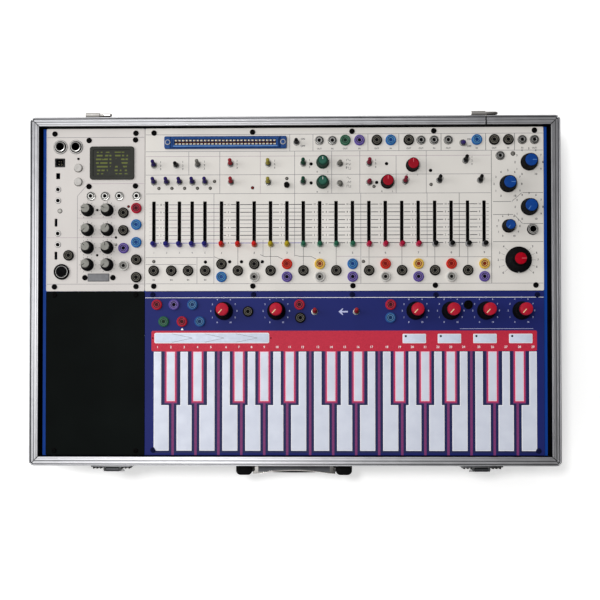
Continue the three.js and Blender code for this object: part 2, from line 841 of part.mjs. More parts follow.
function display() {
  const top = seat + displayThickness;
  const body = plate(roundedOutline(displayWidth, displayHeight, displayCorner), seat, top);
  const window = pad(
    [0, 0],
    displayWidth - displayFrame * 2,
    displayHeight - displayFrame * 2,
    top - displayRecess,
    top + overrun,
  );
  return body.subtract(window);
}

// Touch pads: the stems of each run of naturals and sharps are spread evenly over the run
const keyRuns = [3, 4, 3, 4, 3];
const pitchX = (index) => keyLeft + naturalPitch * index - wideWidth / 2;

function keyPad(points) {
  const shape = new THREE.Shape(points.map(([x, y]) => new THREE.Vector2(x, y - panelHeight / 2)));
  return plate(shape, -panelThickness / 2, padHeight);
}

function naturalPad(index, stem) {
  const left = pitchX(index);
  const right = left + naturalWidth;
  const [near, far] = [Math.max(stem, left), Math.min(stem + stemWidth, right)];
  const corners = [
    [left, keyBottom],
    [right, keyBottom],
    [right, keyShoulder],
    [far, keyShoulder],
    [far, keyTop],
    [near, keyTop],
    [near, keyShoulder],
    [left, keyShoulder],
  ];
  return keyPad(withoutDoubles(corners));
}

// Leaves out each corner that lies on the one before it
function withoutDoubles(corners) {
  return corners.filter(([x, y], i) => {
    const [px, py] = corners.at(i - 1);
    return Math.hypot(x - px, y - py) > panelSeam;
  });
}

function sharpPad(stem) {
  return keyPad([
    [stem, sharpEnd],
    [stem + sharpWidth, sharpEnd],
    [stem + sharpWidth, keyTop],
    [stem, keyTop],
  ]);
}

function keyPads() {
  const pads = [];
  let first = 0;
  for (const naturals of keyRuns) {
    const count = Math.min(naturals, naturalCount - first);
    const stems = naturals * 2 - 1;
    const span = naturalPitch * (naturals - 1) + naturalWidth - stemWidth;
    const sharpStart = stemWidth + (span / (naturals - 1) - stemWidth - sharpWidth) / 2;
    for (let i = 0; i < stems && i < count * 2; i += 1) {
      const stem = pitchX(first) + (span * Math.floor(i / 2)) / (naturals - 1);
      pads.push(i % 2 ? sharpPad(stem + sharpStart) : naturalPad(first + i / 2, stem));
    }
    first += naturals;
  }
  return pads;
}

function keyboardPanel() {
  const at = (shares) => onPanel(wideWidth, shares);
  const knobs = keyboardKnobShares.map((share) => at([share, keyboardKnobRowShare]));
  const toggles = keyboardToggleShares.map(([, share]) => at([share, keyboardToggleRowShare]));
  const stripX = stripLeft + stripWidth / 2 - wideWidth / 2;
  const strip = plate(
    roundedOutline(stripWidth, stripHeight, stripHeight / 2 - cutWidth),
    -panelThickness / 2,
    padHeight,
  ).translate([stripX, stripMiddle - panelHeight / 2, 0]);
  const boxes = boxShares.map((share) => {
    return pad(at([share, boxRowShare]), boxWidth, boxHeight, -panelThickness / 2, padHeight);
  });
  const bushes = toggles.map((place) => {
    return post(place, bushRadius, -panelThickness - bushHeight, bushHeight, socketSides);
  });
  const bores = toggles.map((place) => {
    return post(place, bushBore, -panelThickness, bushHeight + overrun, socketSides);
  });
  let body = withRotaryPots(blankPlate(wideWidth), knobs);
  body = withSockets(body, keyboardPatchShares.map(at), patchSocket);
  body = withSockets(body, [at(keyboardSmallShares)], smallSocket);
  return cut(joined([body, strip, ...boxes, ...keyPads(), ...bushes]), bores);
}

function toggleLever() {
  const ball = solid(new THREE.SphereGeometry(ballRadius, socketSides, boreSides));
  const rod = post([0, 0], leverRootRadius, 0, leverReach, socketSides, leverTipRadius);
  return ball.add(rod);
}

// Power supply on the chassis floor
function powerSupply() {
  const [w, d, h] = transformerShares;
  const base = pad([0, 0], supplyWidth, supplyLength, 0, supplyBase);
  const transformer = pad(
    [0, supplyLength / 4], supplyWidth * w, supplyLength * d, 0, supplyHeight * h,
  );
  const places = [-1, 1].map((side) => [(side * supplyWidth) / 4, -supplyLength / 4]);
  const capacitors = places.map((at) => {
    return post(at, capacitorRadius, supplyBase / 2, capacitorHeight, jackSides);
  });
  return joined([base, transformer, ...capacitors]);
}

// Assembly
const synthesizer = new THREE.Group();

function panelGroup(x, y) {
  const group = new THREE.Group();
  group.position.set(x, y, panelTop);
  synthesizer.add(group);
  return group;
}

function addCase() {
  node("case_tray", caseTray(), finish(0x1a1a1b, 0.75, 0), synthesizer);
  node("rim_frame", rimFrame(), aluminium(), synthesizer);
  node("chassis", chassis(), finish(0x1e4fb0, 0.5, 0.1), synthesizer);
  latchX.forEach((x, i) => {
    const name = ["latch_lever_left", "latch_lever_right"][i];
    node(name, latchLever(), steel(), synthesizer, [x, latchPinY, latchPinZ]);
  });
  const pivot = [0, handlePivotY, handlePivotZ];
  node("handle_bail", handleBail(), steel(), synthesizer, pivot);
  node("handle_grip", handleGrip(), blackPlastic(), synthesizer, pivot);
  const supplyPlace = onPanel(moduleWidth, supplyShares);
  const supplyAt = [moduleX + supplyPlace[0], supplyPlace[1] - rowY, chassisFloor + sheet + seat];
  node("power_supply", powerSupply(), finish(0x8f9498, 0.5, 0.7), synthesizer, supplyAt);
}

function addProgram() {
  const group = panelGroup(moduleX, rowY);
  const at = (shares) => onPanel(moduleWidth, shares);
  node("program_panel", programPanel(), lightPanel(), group);
  node("jack_pair", jackBlock(jackPairShares.map(at), jackNut), blackPlastic(), group);
  node("usb_socket", usbSocket(), steel(), group, [...at(usbShares), 0]);
  node("display", display(), finish(0x3a3c38, 0.3, 0), group, [...at(displayShares), 0]);
  for (const [name, x, y] of programButtonShares) {
    node(name, button(programButton), finish(0x9a9a98, 0.5, 0), group, [...at([x, y]), 0]);
  }
}

function addVoice() {
  const group = panelGroup(wideX, rowY);
  const at = (shares) => onPanel(wideWidth, shares);
  node("voice_panel", voicePanel(), lightPanel(), group);
  node("voice_board", voiceBoard(), finish(0x1f5a3c, 0.5, 0), group);
  node("phones_jack", jackBlock([at(phonesShares)], phonesNut), blackPlastic(), group);
  const connectorBlue = finish(0x2450a8, 0.4, 0);
  node("card_connector", cardConnector(), connectorBlue, group, [...at(connectorShares), 0]);
  const rest = slotY - sliderTravel / 2;
  sliderColumns().forEach((x, i) => {
    const name = `slider_${String(i + 1).padStart(2, "0")}`;
    node(name, slider(), finish(0x30323c, 0.45, 0), group, [x, rest, 0]);
  });
  for (const [name, x, y, size] of voiceKnobShares) {
    node(name, knob(size), finish(0x3560b8, 0.45, 0), group, [...at([x, y]), 0]);
  }
  const place = [...at(voiceButtonShares), 0];
  node("voice_button", button(voiceButton), blackPlastic(), group, place);
}

function addKeyboard() {
  const group = panelGroup(wideX, -rowY);
  const at = (share, row) => onPanel(wideWidth, [share, row]);
  node("keyboard_panel", keyboardPanel(), finish(0x2a3688, 0.4, 0.1), group);
  keyboardKnobShares.forEach((share, i) => {
    const place = [...at(share, keyboardKnobRowShare), 0];
    node(`keyboard_knob_${i + 1}`, knob(keyboardKnob), finish(0xc8302c, 0.45, 0), group, place);
  });
  for (const [name, share] of keyboardToggleShares) {
    const place = [...at(share, keyboardToggleRowShare), bushHeight / 2];
    const mesh = node(name, toggleLever(), steel(), group, place);
    mesh.rotation.x = -leverTilt;
  }
}

function addBlank() {
  node("blank_panel", blankPlate(moduleWidth), finish(0x0c100f, 0.4, 0.2), panelGroup(moduleX, -rowY));
}

addCase();
addProgram();
addVoice();
addKeyboard();
addBlank();

// The hinges and the handle stick out unequally, so the whole is centred between them
const bounds = new THREE.Box3().setFromObject(synthesizer);
synthesizer.position.y = -bounds.getCenter(new THREE.Vector3()).y;

export default synthesizer;
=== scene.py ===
"""Modular synthesizer in the base of an aluminium-edged case, dressed for the camera."""

import math

import bmesh
import bpy
from mathutils import Euler, Matrix, Vector


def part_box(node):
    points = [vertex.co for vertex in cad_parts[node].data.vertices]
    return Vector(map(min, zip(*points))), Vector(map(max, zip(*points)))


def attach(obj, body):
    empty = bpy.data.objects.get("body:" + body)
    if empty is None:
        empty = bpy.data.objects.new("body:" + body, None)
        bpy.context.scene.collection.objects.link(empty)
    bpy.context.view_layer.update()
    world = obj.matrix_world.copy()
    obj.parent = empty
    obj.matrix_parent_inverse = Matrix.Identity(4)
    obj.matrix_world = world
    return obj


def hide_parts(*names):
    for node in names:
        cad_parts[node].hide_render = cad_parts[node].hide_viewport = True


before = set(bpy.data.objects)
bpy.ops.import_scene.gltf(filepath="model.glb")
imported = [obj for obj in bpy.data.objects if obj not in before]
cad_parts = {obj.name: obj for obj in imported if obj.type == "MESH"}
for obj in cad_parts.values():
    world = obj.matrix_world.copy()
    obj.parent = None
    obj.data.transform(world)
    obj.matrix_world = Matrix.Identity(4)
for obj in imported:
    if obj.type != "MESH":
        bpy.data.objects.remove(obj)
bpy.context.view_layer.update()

# Lengths are in millimetres until a piece is built
METRE = 0.001
PANEL_TOP = 86.0
CASE_TOP = 92.0
MODULE_WIDTH = 107.95
WIDE_WIDTH = 431.8
PANEL_HEIGHT = 177.8
PANEL_SEAM = 0.4
PANEL_THICKNESS = 2.0
PRINT = 0.05
SHEEN = 0.22
# The angles in degrees that look sharp on a turned or moulded form, and on a flat sheet
CREASE = 38
SHEET_CREASE = 20


# Shader maths
def operator(kind, swapped=False):
    """A method that works out an operator with a Math node."""

    def work(self, other=0.0):
        first, second = (other, self) if swapped else (self, other)
        return self.finish.node("Math", {"operation": kind}, {0: first, 1: second})

    return work


class Value:
    """A socket of a finish, so that shader maths reads as sums."""

    __add__ = operator("ADD")
    __sub__ = operator("SUBTRACT")
    __rsub__ = operator("SUBTRACT", swapped=True)
    __mul__ = operator("MULTIPLY")
    __truediv__ = operator("DIVIDE")
    __mod__ = operator("FLOORED_MODULO")
    __gt__ = operator("GREATER_THAN")
    __lt__ = operator("LESS_THAN")
    __abs__ = operator("ABSOLUTE")

    def __init__(self, finish, socket):
        self.finish = finish
        self.socket = socket


def tint(code):
    """A colour written as hex, as the linear values that a shader takes."""
    shares = [int(code[i : i + 2], 16) / 255 for i in (1, 3, 5)]
    return [c / 12.92 if c <= 0.04045 else ((c + 0.055) / 1.055) ** 2.4 for c in shares] + [1.0]


class Finish:
    """A material, and the nodes that vary it over a surface."""

    def __init__(self, name, **constants):
        self.material = bpy.data.materials.new(name)
        self.material.use_nodes = True
        self.nodes = self.material.node_tree.nodes
        self.links = self.material.node_tree.links
        self.shader = self.nodes["Principled BSDF"]
        for socket, value in constants.items():
            self.shader.inputs[socket.replace("_", " ")].default_value = value
        self.here = None

    def node(self, kind, settings=None, values=None, out=0):
        """Adds a node: its settings first, then the values or links of its sockets."""
        made = self.nodes.new("ShaderNode" + kind)
        for key, value in (settings or {}).items():
            if key == "stops":
                while len(made.color_ramp.elements) < len(value):
                    made.color_ramp.elements.new(1.0)
                for element, (position, colour) in zip(made.color_ramp.elements, value):
                    element.position = position
                    element.color = colour
            else:
                setattr(made, key, value)
        for key, value in (values or {}).items():
            if isinstance(value, Value):
                self.links.new(value.socket, made.inputs[key])
            else:
                made.inputs[key].default_value = value
        return Value(self, made.outputs[out])

    def feed(self, **values):
        """Links or sets the shader's own sockets."""
        for socket, value in values.items():
            target = self.shader.inputs[socket.replace("_", " ")]
            if isinstance(value, Value):
                self.links.new(value.socket, target)
            else:
                target.default_value = value
        return self

    def place(self):
        """Where a point is on its piece, in millimetres."""
        if self.here is None:
            spot = self.node("TexCoord", out=3)
            scale = {0: spot, 3: 1 / METRE}
            self.here = self.node("VectorMath", {"operation": "SCALE"}, scale)
        return self.here

    def across(self, axis):
        return self.node("SeparateXYZ", None, {0: self.place()}, out="XYZ".index(axis))

    def noise(self, size, detail=2.0, stretch=(1, 1, 1)):
        """Cloudy values with features of about a size in millimetres."""
        grow = {0: self.place(), 1: [1 / (size * s) for s in stretch]}
        spot = self.node("VectorMath", {"operation": "MULTIPLY"}, grow)
        values = {"Vector": spot, "Scale": 1.0, "Detail": detail, "Roughness": 0.5}
        return self.node("TexNoise", None, values)

    def cells(self, size, feature="F1", out=0):
        grow = {0: self.place(), 3: 1 / size}
        spot = self.node("VectorMath", {"operation": "SCALE"}, grow)
        return self.node("TexVoronoi", {"feature": feature}, {"Vector": spot, "Scale": 1.0}, out)

    def mix(self, factor, first, second):
        """One colour over another, by a factor from 0 to 1."""
        settings = {"data_type": "RGBA", "clamp_factor": True}
        return self.node("Mix", settings, {0: factor, 6: first, 7: second}, out=2)

    def ramp(self, factor, low, high, start=0.0, end=1.0):
        """A value that rises from start to end while the factor goes from low to high."""
        values = {0: factor, 1: low, 2: high, 3: start, 4: end}
        return self.node("MapRange", {"clamp": True}, values)

    def bump(self, height, depth, strength=1.0):
        """Raises the surface by a height from 0 to 1 times a depth in millimetres."""
        values = {"Height": height, "Distance": depth * METRE, "Strength": strength}
        return self.feed(Normal=self.node("Bump", None, values))


class Sky(Finish):
    """The studio round the stage, which lights it and shows in its metal."""

    def __init__(self, name):
        self.world = bpy.data.worlds.new(name)
        self.world.use_nodes = True
        self.nodes = self.world.node_tree.nodes
        self.links = self.world.node_tree.links
        self.shader = self.nodes["Background"]


FINISHES = {}


def finish(name, **constants):
    made = Finish(name, **constants)
    FINISHES[name] = made.material
    return made


def shade(colour, amount):
    """A colour made lighter or darker by a share."""
    return [min(1.0, c * (1 + amount)) for c in colour[:3]] + [1.0]


def painted(name, code, rough, speck=0.05, sheen=SHEEN):
    """Powder paint on sheet metal: fine orange peel, a slow drift of tone and fine dust."""
    made = finish(name, Metallic=0.0, Specular_IOR_Level=sheen)
    colour = tint(code)
    drift = made.noise(60, 2)
    grain = made.noise(0.5, 2)
    base = made.mix(made.ramp(drift, 0.3, 0.7), shade(colour, -speck), shade(colour, speck * 0.6))
    dust = made.ramp(made.noise(1.6, 4), 0.62, 0.75) * 0.25
    base = made.mix(dust, base, shade(colour, -speck * 2))
    made.feed(Base_Color=base, Roughness=made.ramp(grain, 0.3, 0.7, rough - 0.06, rough + 0.08))
    made.bump(grain, 0.02, 0.35)
    return made


def moulded(name, code, rough=0.4, speck=0.12, sheen=SHEEN):
    """Moulded plastic: fine matt grain with handling marks that shine a little more."""
    made = finish(name, Metallic=0.0, Specular_IOR_Level=sheen)
    colour = tint(code)
    grain = made.noise(0.35, 3)
    wear = made.noise(3.5, 4)
    base = made.mix(made.ramp(wear, 0.35, 0.7), shade(colour, -speck), shade(colour, speck))
    gloss = made.ramp(wear, 0.45, 0.7, rough + 0.08, rough - 0.08)
    made.feed(Base_Color=base, Roughness=gloss)
    made.bump(grain, 0.03, 0.4)
    return made


def metal(name, code, rough, stretch=(1, 1, 1), lines=0.35, depth=0.01, speck=0.1):
    """Bare or plated metal, drawn or brushed along its stretch."""
    made = finish(name, Metallic=1.0)
    colour = tint(code)
    drawn = made.noise(lines, 3, stretch)
    cloud = made.noise(9, 3)
    base = made.mix(drawn, shade(colour, -speck), shade(colour, speck * 0.5))
    base = made.mix(made.ramp(cloud, 0.55, 0.75) * 0.3, base, shade(colour, -speck * 2.5))
    gloss = made.ramp(cloud, 0.3, 0.7, rough - 0.05, rough + 0.07)
    made.feed(Base_Color=base, Roughness=gloss)
    made.bump(drawn, depth, 0.5)
    return made


def inked(name, code):
    """Screen-printed ink, a little uneven in its cover."""
    made = finish(name, Metallic=0.0, Specular_IOR_Level=SHEEN)
    colour = tint(code)
    cover = made.noise(0.6, 3)
    base = made.mix(made.ramp(cover, 0.35, 0.65), shade(colour, 0.25), shade(colour, -0.1))
    made.feed(Base_Color=base, Roughness=made.ramp(cover, 0.3, 0.7, 0.47, 0.63))
    return made


# Forms: points in millimetres and faces
def circle(radius, z, sides=32, x=0.0, y=0.0):
    steps = [2 * math.pi * i / sides for i in range(sides)]
    return [(x + radius * math.cos(a), y + radius * math.sin(a), z) for a in steps]


def loft(rings, closed=False):
    """Joins rings of points into a closed skin, capped unless the last meets the first."""
    count = len(rings[0])
    points = [p for ring in rings for p in ring]
    faces = []
    for level in range(len(rings) - (0 if closed else 1)):
        a, b = level * count, (level + 1) % len(rings) * count
        for i in range(count):
            j = (i + 1) % count
            faces.append((a + i, a + j, b + j, b + i))
    if not closed:
        top = (len(rings) - 1) * count
        faces.append(tuple(range(count - 1, -1, -1)))
        faces.append(tuple(range(top, top + count)))
    return points, faces


def turned(profile, sides=32):
    """A turned form from its radii and heights."""
    return loft([circle(max(r, 0.02), z, sides) for r, z in profile])


def rounded(width, depth, corner, steps=4, x=0.0, y=0.0):
    """A rectangle with round corners, counterclockwise."""
    corner = max(min(corner, width / 2 - 0.01, depth / 2 - 0.01), 0.01)
    points = []
    quarters = ((1, 1, 0), (-1, 1, 1), (-1, -1, 2), (1, -1, 3))
    for side_x, side_y, quarter in quarters:
        for i in range(steps + 1):
            a = math.pi / 2 * (quarter + i / steps)
            px = side_x * (width / 2 - corner) + corner * math.cos(a)
            py = side_y * (depth / 2 - corner) + corner * math.sin(a)
            points.append((x + px, y + py))
    return points


def eased(z0, z1, low, high, steps=3):
    """Insets and heights that round the lower and upper rims of an upright form."""
    angles = [math.pi / 2 * i / steps for i in range(steps + 1)]
    lower = [(low * (1 - math.sin(a)), z0 + low * (1 - math.cos(a))) for a in angles]
    upper = [(high * (1 - math.sin(a)), z1 - high * (1 - math.cos(a))) for a in angles]
    return (lower if low else [(0, z0)]) + (upper[::-1] if high else [(0, z1)])


def stack(levels, steps=4, x=0.0, y=0.0, closed=False):
    """A form through level rectangles: the width, depth, corner and height of each."""
    rings = []
    for width, depth, corner, z in levels:
        rings.append([(px, py, z) for px, py in rounded(width, depth, corner, steps, x, y)])
    return loft(rings, closed)


def inset_levels(width, depth, steps):
    """Levels of a stack from an inset, a corner and a height each."""
    return [(width - inset * 2, depth - inset * 2, corner, z) for inset, corner, z in steps]


def eased_block(width, depth, corner, rims):
    """Levels of a block whose corners shrink with its insets."""
    return inset_levels(width, depth, [(inset, corner - inset, z) for inset, z in rims])


def slab(width, depth, z0, z1, corner=1.0, edge=0.4):
    """A block with round upright corners and eased rims."""
    return stack(eased_block(width, depth, corner, eased(z0, z1, edge, edge)))


def disc(radius, z0, z1, edge=0.3, sides=28):
    return turned([(radius - inset, z) for inset, z in eased(z0, z1, 0, edge)], sides)


def hexagon(across, z0, z1, edge=0.4):
    share = math.cos(math.pi / 6)
    return loft([circle((across / 2 - inset) / share, z, 6) for inset, z in eased(z0, z1, 0, edge)])


def hollow_ring(profile, sides=40):
    """A ring turned from a section that closes on itself."""
    return loft([circle(r, z, sides) for r, z in profile], closed=True)


def spin(shape, at, parts, turn=None, tone=""):
    """Adds forms round one axis: what turns each, its look, its sides, its radii and heights."""
    for make, look, sides, profile in parts:
        shape.add(make(profile, sides), tone + look, at, turn)


def skin_of(curve):
    """The mesh of a curve or text, in the curve's own units."""
    holder = bpy.data.objects.new("outline", curve)
    bpy.context.scene.collection.objects.link(holder)
    graph = bpy.context.evaluated_depsgraph_get()
    mesh = holder.evaluated_get(graph).to_mesh()
    work = bmesh.new()
    work.from_mesh(mesh)
    bmesh.ops.remove_doubles(work, verts=work.verts, dist=1e-4)
    points = [tuple(v.co) for v in work.verts]
    faces = [tuple(v.index for v in f.verts) for f in work.faces]
    work.free()
    bpy.data.objects.remove(holder)
    bpy.data.curves.remove(curve)
    return points, faces


def plate(outlines, z0, z1, edge=0.0):
    """A flat sheet with the first outline as its rim and the others as its holes."""
    curve = bpy.data.curves.new("outline", "CURVE")
    curve.dimensions = "2D"
    curve.fill_mode = "BOTH"
    curve.extrude = (z1 - z0) / 2 - edge
    curve.bevel_depth = edge
    curve.bevel_resolution = 1
    curve.offset = -edge
    for outline in outlines:
        spline = curve.splines.new("POLY")
        spline.points.add(len(outline) - 1)
        for point, (x, y) in zip(spline.points, outline):
            point.co = (x, y, 0, 1)
        spline.use_cyclic_u = True
    points, faces = skin_of(curve)
    return [(x, y, z + (z0 + z1) / 2) for x, y, z in points], faces


WRITTEN = {}


def figure(text, size):
    """A generic figure or sign, as thin raised print on a panel."""
    half = 0.01
    if text not in WRITTEN:
        curve = bpy.data.curves.new("figure", "FONT")
        curve.body = text
        curve.align_x = "CENTER"
        curve.align_y = "CENTER"
        curve.resolution_u = 3
        curve.extrude = half
        curve.offset = 0.018
        WRITTEN[text] = skin_of(curve)
    points, faces = WRITTEN[text]
    grow = PRINT / (half * 2)
    return [(x * size, y * size, (z + half) * grow) for x, y, z in points], faces


def swept(path, section):
    """A section carried along a path, turned as little as the path allows."""
    spots = [Vector(p) for p in path]
    rings = []
    side = None
    for before, spot, after in zip([spots[0], *spots], spots, [*spots[1:], spots[-1]]):
        along = (after - before).normalized()
        if side is None:
            side = along.orthogonal().normalized()
        side = (side - along * side.dot(along)).normalized()
        up = along.cross(side)
        rings.append([tuple(spot + side * u + up * v) for u, v in section])
    return loft(rings)


def rod(path, radius, sides=12):
    return swept(path, [(x, y) for x, y, _ in circle(radius, 0, sides)])


class Shape:
    """Forms gathered in millimetres until they become one piece."""

    def __init__(self, crease=CREASE):
        self.crease = crease
        self.points = []
        self.faces = []
        self.looks = []
        self.flat = []

    def add(self, form, look, at=(0, 0, 0), turn=None, flat=False):
        move = Matrix.Translation(at)
        if turn is not None:
            move = move @ Euler(turn).to_matrix().to_4x4()
        start = len(self.points)
        points, faces = form
        self.points += [tuple(move @ Vector(p)) for p in points]
        self.faces += [tuple(start + i for i in face) for face in faces]
        self.looks += [look] * len(faces)
        self.flat += [flat] * len(faces)
        return self

    def line(self, x0, y0, x1, y1, width, look, z=PANEL_TOP, height=PRINT):
        """A printed line between two points of a panel."""
        along = Vector((x1 - x0, y1 - y0, 0))
        side = Vector((-along.y, along.x, 0)).normalized() * width / 2
        ends = (Vector((x0, y0, z)), Vector((x1, y1, z)))
        foot = [ends[0] - side, ends[1] - side, ends[1] + side, ends[0] + side]
        ring = [tuple(p) for p in foot]
        top = [tuple(p + Vector((0, 0, height))) for p in foot]
        return self.add(loft([ring, top]), look, flat=True)

    def built(self, name):
        mesh = bpy.data.meshes.new(name)
        mesh.from_pydata([[c * METRE for c in p] for p in self.points], [], self.faces)
        looks = sorted(set(self.looks))
        for look in looks:
            mesh.materials.append(FINISHES[look])
        mesh.polygons.foreach_set("material_index", [looks.index(look) for look in self.looks])
        mesh.polygons.foreach_set("use_smooth", [not flat for flat in self.flat])
        work = bmesh.new()
        work.from_mesh(mesh)
        bmesh.ops.recalc_face_normals(work, faces=work.faces)
        work.to_mesh(mesh)
        work.free()
        mesh.set_sharp_from_angle(angle=math.radians(self.crease))
        made = bpy.data.objects.new(name, mesh)
        bpy.context.scene.collection.objects.link(made)
        return made


def piece(name, shape, slot, *nodes, body="synthesizer"):
    """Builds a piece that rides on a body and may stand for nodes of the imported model."""
    made = shape.built(name)
    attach(made, body)
    if nodes:
        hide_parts(*nodes)
    return made


def middle(node):
    """The middle of a node in plan, in millimetres."""
    low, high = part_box(node)
    return (low.x + high.x) / 2 / METRE, (low.y + high.y) / 2 / METRE


def reach(node):
    """A node's lowest and highest corners in millimetres."""
    return [tuple(c / METRE for c in corner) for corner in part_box(node)]


# Finishes
# Colour, roughness, stretch, size of the lines, their depth and the speckle
METALS = {
    "rim_along_x": ("#BDBDC0", 0.33, (60, 1, 1), 0.25, 0.004, 0.05),
    # The side rails: the same extrusion in a darker copy of its colour, painted shade
    "rim_along_y": ("#AAAAAD", 0.34, (1, 60, 1), 0.25, 0.0003, 0.03),
    "nickel": ("#A6A5A2", 0.3, (1, 1, 1), 1.2, 0.004, 0.08),
    "chrome": ("#D2CFCB", 0.1, (1, 1, 1), 5, 0.003, 0.05),
    "steel_dark": ("#4C4D50", 0.38, (1, 1, 1), 1.0, 0.01, 0.2),
    "toggle_metal": ("#8C8B88", 0.42, (1, 1, 1), 1.0, 0.008, 0.15),
    # The latches: plated steel in a darker colour than the other plating, painted shade on their faces
    "latch_metal": ("#747577", 0.3, (1, 1, 1), 1.2, 0.006, 0.12),
    "shell_dark": ("#303031", 0.42, (1, 1, 1), 1.0, 0.008, 0.2),
    "brass_contact": ("#E6D9B8", 0.3, (1, 6, 1), 0.3, 0.004, 0.08),
}
# Colour, roughness, speckle and sheen
PLASTICS = {
    "black_plastic": ("#0C0C0D", 0.5, 0.12, 0.05), "soft_black": ("#0B0B0C", 0.65, 0.2, 0.05),
    "deep_black": ("#050506", 0.7, 0.2, 0.06), "screw_black": ("#080808", 0.55, 0.25, 0.03),
    "gray_plastic": ("#BDBAB6", 0.45, 0.06, SHEEN), "white_plastic": ("#E4E1DD", 0.42, 0.05, SHEEN),
    "screw_navy": ("#12163A", 0.55, 0.25, 0.03), "knob_black": ("#0E0E10", 0.55, 0.2, 0.05),
    "knob_green": ("#28594A", 0.45, 0.12, 0.08), "knob_pine": ("#173A2E", 0.48, 0.12, 0.08),
    "knob_red": ("#920A1E", 0.42, 0.12, 0.08), "knob_scarlet": ("#A6001A", 0.42, 0.12, 0.06),
    "knob_brick": ("#B01A30", 0.42, 0.12, 0.08), "knob_blue": ("#0E3F8A", 0.42, 0.12, 0.08),
    "knob_gray": ("#8B8A84", 0.5, 0.12, 0.12), "connector_blue": ("#244780", 0.42, 0.12, 0.08),
    "connector_dark": ("#0B1430", 0.5, 0.12, 0.05), "contact_white": ("#E4DECF", 0.4, 0.06, SHEEN),
    "slot_maroon": ("#3A1214", 0.6, 0.12, SHEEN), "lamp_red": ("#6E1210", 0.2, 0.12, SHEEN),
    "lamp_clear": ("#B4B2AC", 0.2, 0.12, SHEEN), "lamp_gray": ("#6F6C66", 0.25, 0.12, SHEEN),
    "mark_white": ("#D8DAD6", 0.5, 0.04, SHEEN), "mark_cream": ("#E8C9A0", 0.5, 0.04, SHEEN),
    "key_edge": ("#E9E9EF", 0.4, 0.03, SHEEN), "key_edge_pink": ("#F0C6D6", 0.4, 0.03, SHEEN),
    "strip_plate": ("#CDD5E6", 0.36, 0.04, SHEEN), "tag_gray": ("#77777A", 0.45, 0.06, SHEEN),
    "tag_edge": ("#47474A", 0.45, 0.06, SHEEN), "mark_blue": ("#5E8CC8", 0.45, 0.05, SHEEN),
    "mark_rose": ("#D4606C", 0.45, 0.05, SHEEN),
}
INKS = {
    "black": "#2A2A30", "dark": "#3A3A41", "gray": "#7E7B80", "violet": "#6E69A8", "mauve": "#A99AA2",
    "plum": "#763066", "rose": "#BE2C56", "white": "#F2F2F4", "pale": "#B4B8DA", "red": "#B8203A",
    "navy": "#141B4A",
}
PAINTS = {
    "light_paint": ("#DCD8D2", 0.5, 0.05),
    "program_paint": ("#D2CDC9", 0.5, 0.05),
    "blue_paint": ("#12449E", 0.4, 0.1, 0.06),
    "night_paint": ("#1E2668", 0.5, 0.09, 0.08),
    "dark_paint": ("#090D0C", 0.45, 0.3, 0.02),
}
# Collar, ring and core of each socket tone: the ring is another tone of the collar's colour, mostly paler, a
# painted highlight on the bevels round the bore; the core is a darker copy, painted shade in the sunk middle
SOCKET_LOOKS = {
    "black": ("#131210", "#7E7A70", "#0A0A09"), "red": ("#CC2A1E", "#D8503C", "#7A1210"),
    "navy": ("#2A5694", "#6E9EC6", "#12305A"), "crimson": ("#B01E34", "#C4485C", "#3A0A12"),
    "yellow": ("#E4BC48", "#F0D080", "#7A2A12"), "blue": ("#2868AE", "#6AA8D0", "#0E3A78"),
    "violet": ("#5E4C9C", "#9C8CC6", "#2A1C58"), "white": ("#D4D2CE", "#B6B4B0", "#6E6C68"),
    "green": ("#2E6048", "#64947A", "#10281E"),
}
# Cap and foot colours of each slider tone; the foot is a paler copy of the cap's colour, a painted highlight
SLIDER_TONES = {
    "violet": ("#26246E", "#7A72B6"), "red": ("#B8201C", "#CE6450"), "yellow": ("#A5911E", "#C6B660"),
    "green": ("#235A44", "#6E9684"), "crimson": ("#9C1434", "#C0506A"), "black": ("#080809", "#8A8A8C"),
}
LEVER_TONES = {
    "violet": "#2A1E5C", "red": "#8E222C", "yellow": "#8E8438", "green": "#1B4232", "crimson": "#761A2E",
    "black": "#090909", "gray": "#6F6D67",
}


def plain_finishes():
    """Every look that a row of the tables is enough for."""
    for name, values in METALS.items():
        metal(name, *values)
    for name, values in PLASTICS.items():
        moulded(name, *values)
    for name, code in INKS.items():
        inked("ink_" + name, code)
    for name, values in PAINTS.items():
        painted(name, *values)
    # Three looks per socket tone: the collar's own colour, the ring's painted highlight and the core's
    # painted shade
    for tone, codes in SOCKET_LOOKS.items():
        for part, code in zip(("collar", "ring", "core"), codes):
            moulded(f"{tone}_{part}", code, 0.45, 0.1, 0.08)
    for tone, (cap, base) in SLIDER_TONES.items():
        moulded("slider_" + tone, cap, 0.42, sheen=0.06)
        # The foot in a paler copy of the cap's colour: a painted highlight
        moulded("base_" + tone, base, 0.45, sheen=0.14)
    for tone, code in LEVER_TONES.items():
        moulded("lever_" + tone, code, 0.45, sheen=0.08)


def covering():
    """Black grained covering glued to the plywood, rubbed paler on its high spots."""
    made = finish("covering", Metallic=0.0)
    pebble = made.cells(0.9)
    broad = made.noise(14, 3)
    colour = tint("#1A1A1B")
    base = made.mix(made.ramp(pebble, 0.25, 0.7), shade(colour, 0.7), shade(colour, -0.35))
    base = made.mix(made.ramp(broad, 0.55, 0.7) * 0.5, base, shade(colour, 1.2))
    made.feed(Base_Color=base, Roughness=made.ramp(pebble, 0.1, 0.7, 0.5, 0.78))
    made.bump(1 - pebble, 0.16, 0.7)


def rubber():
    made = finish("rubber", Metallic=0.0)
    grain = made.noise(0.8, 4)
    base = made.mix(grain, tint("#141414"), tint("#2A2A29"))
    made.feed(Base_Color=base, Roughness=made.ramp(grain, 0.3, 0.7, 0.7, 0.9))
    made.bump(grain, 0.1, 0.5)


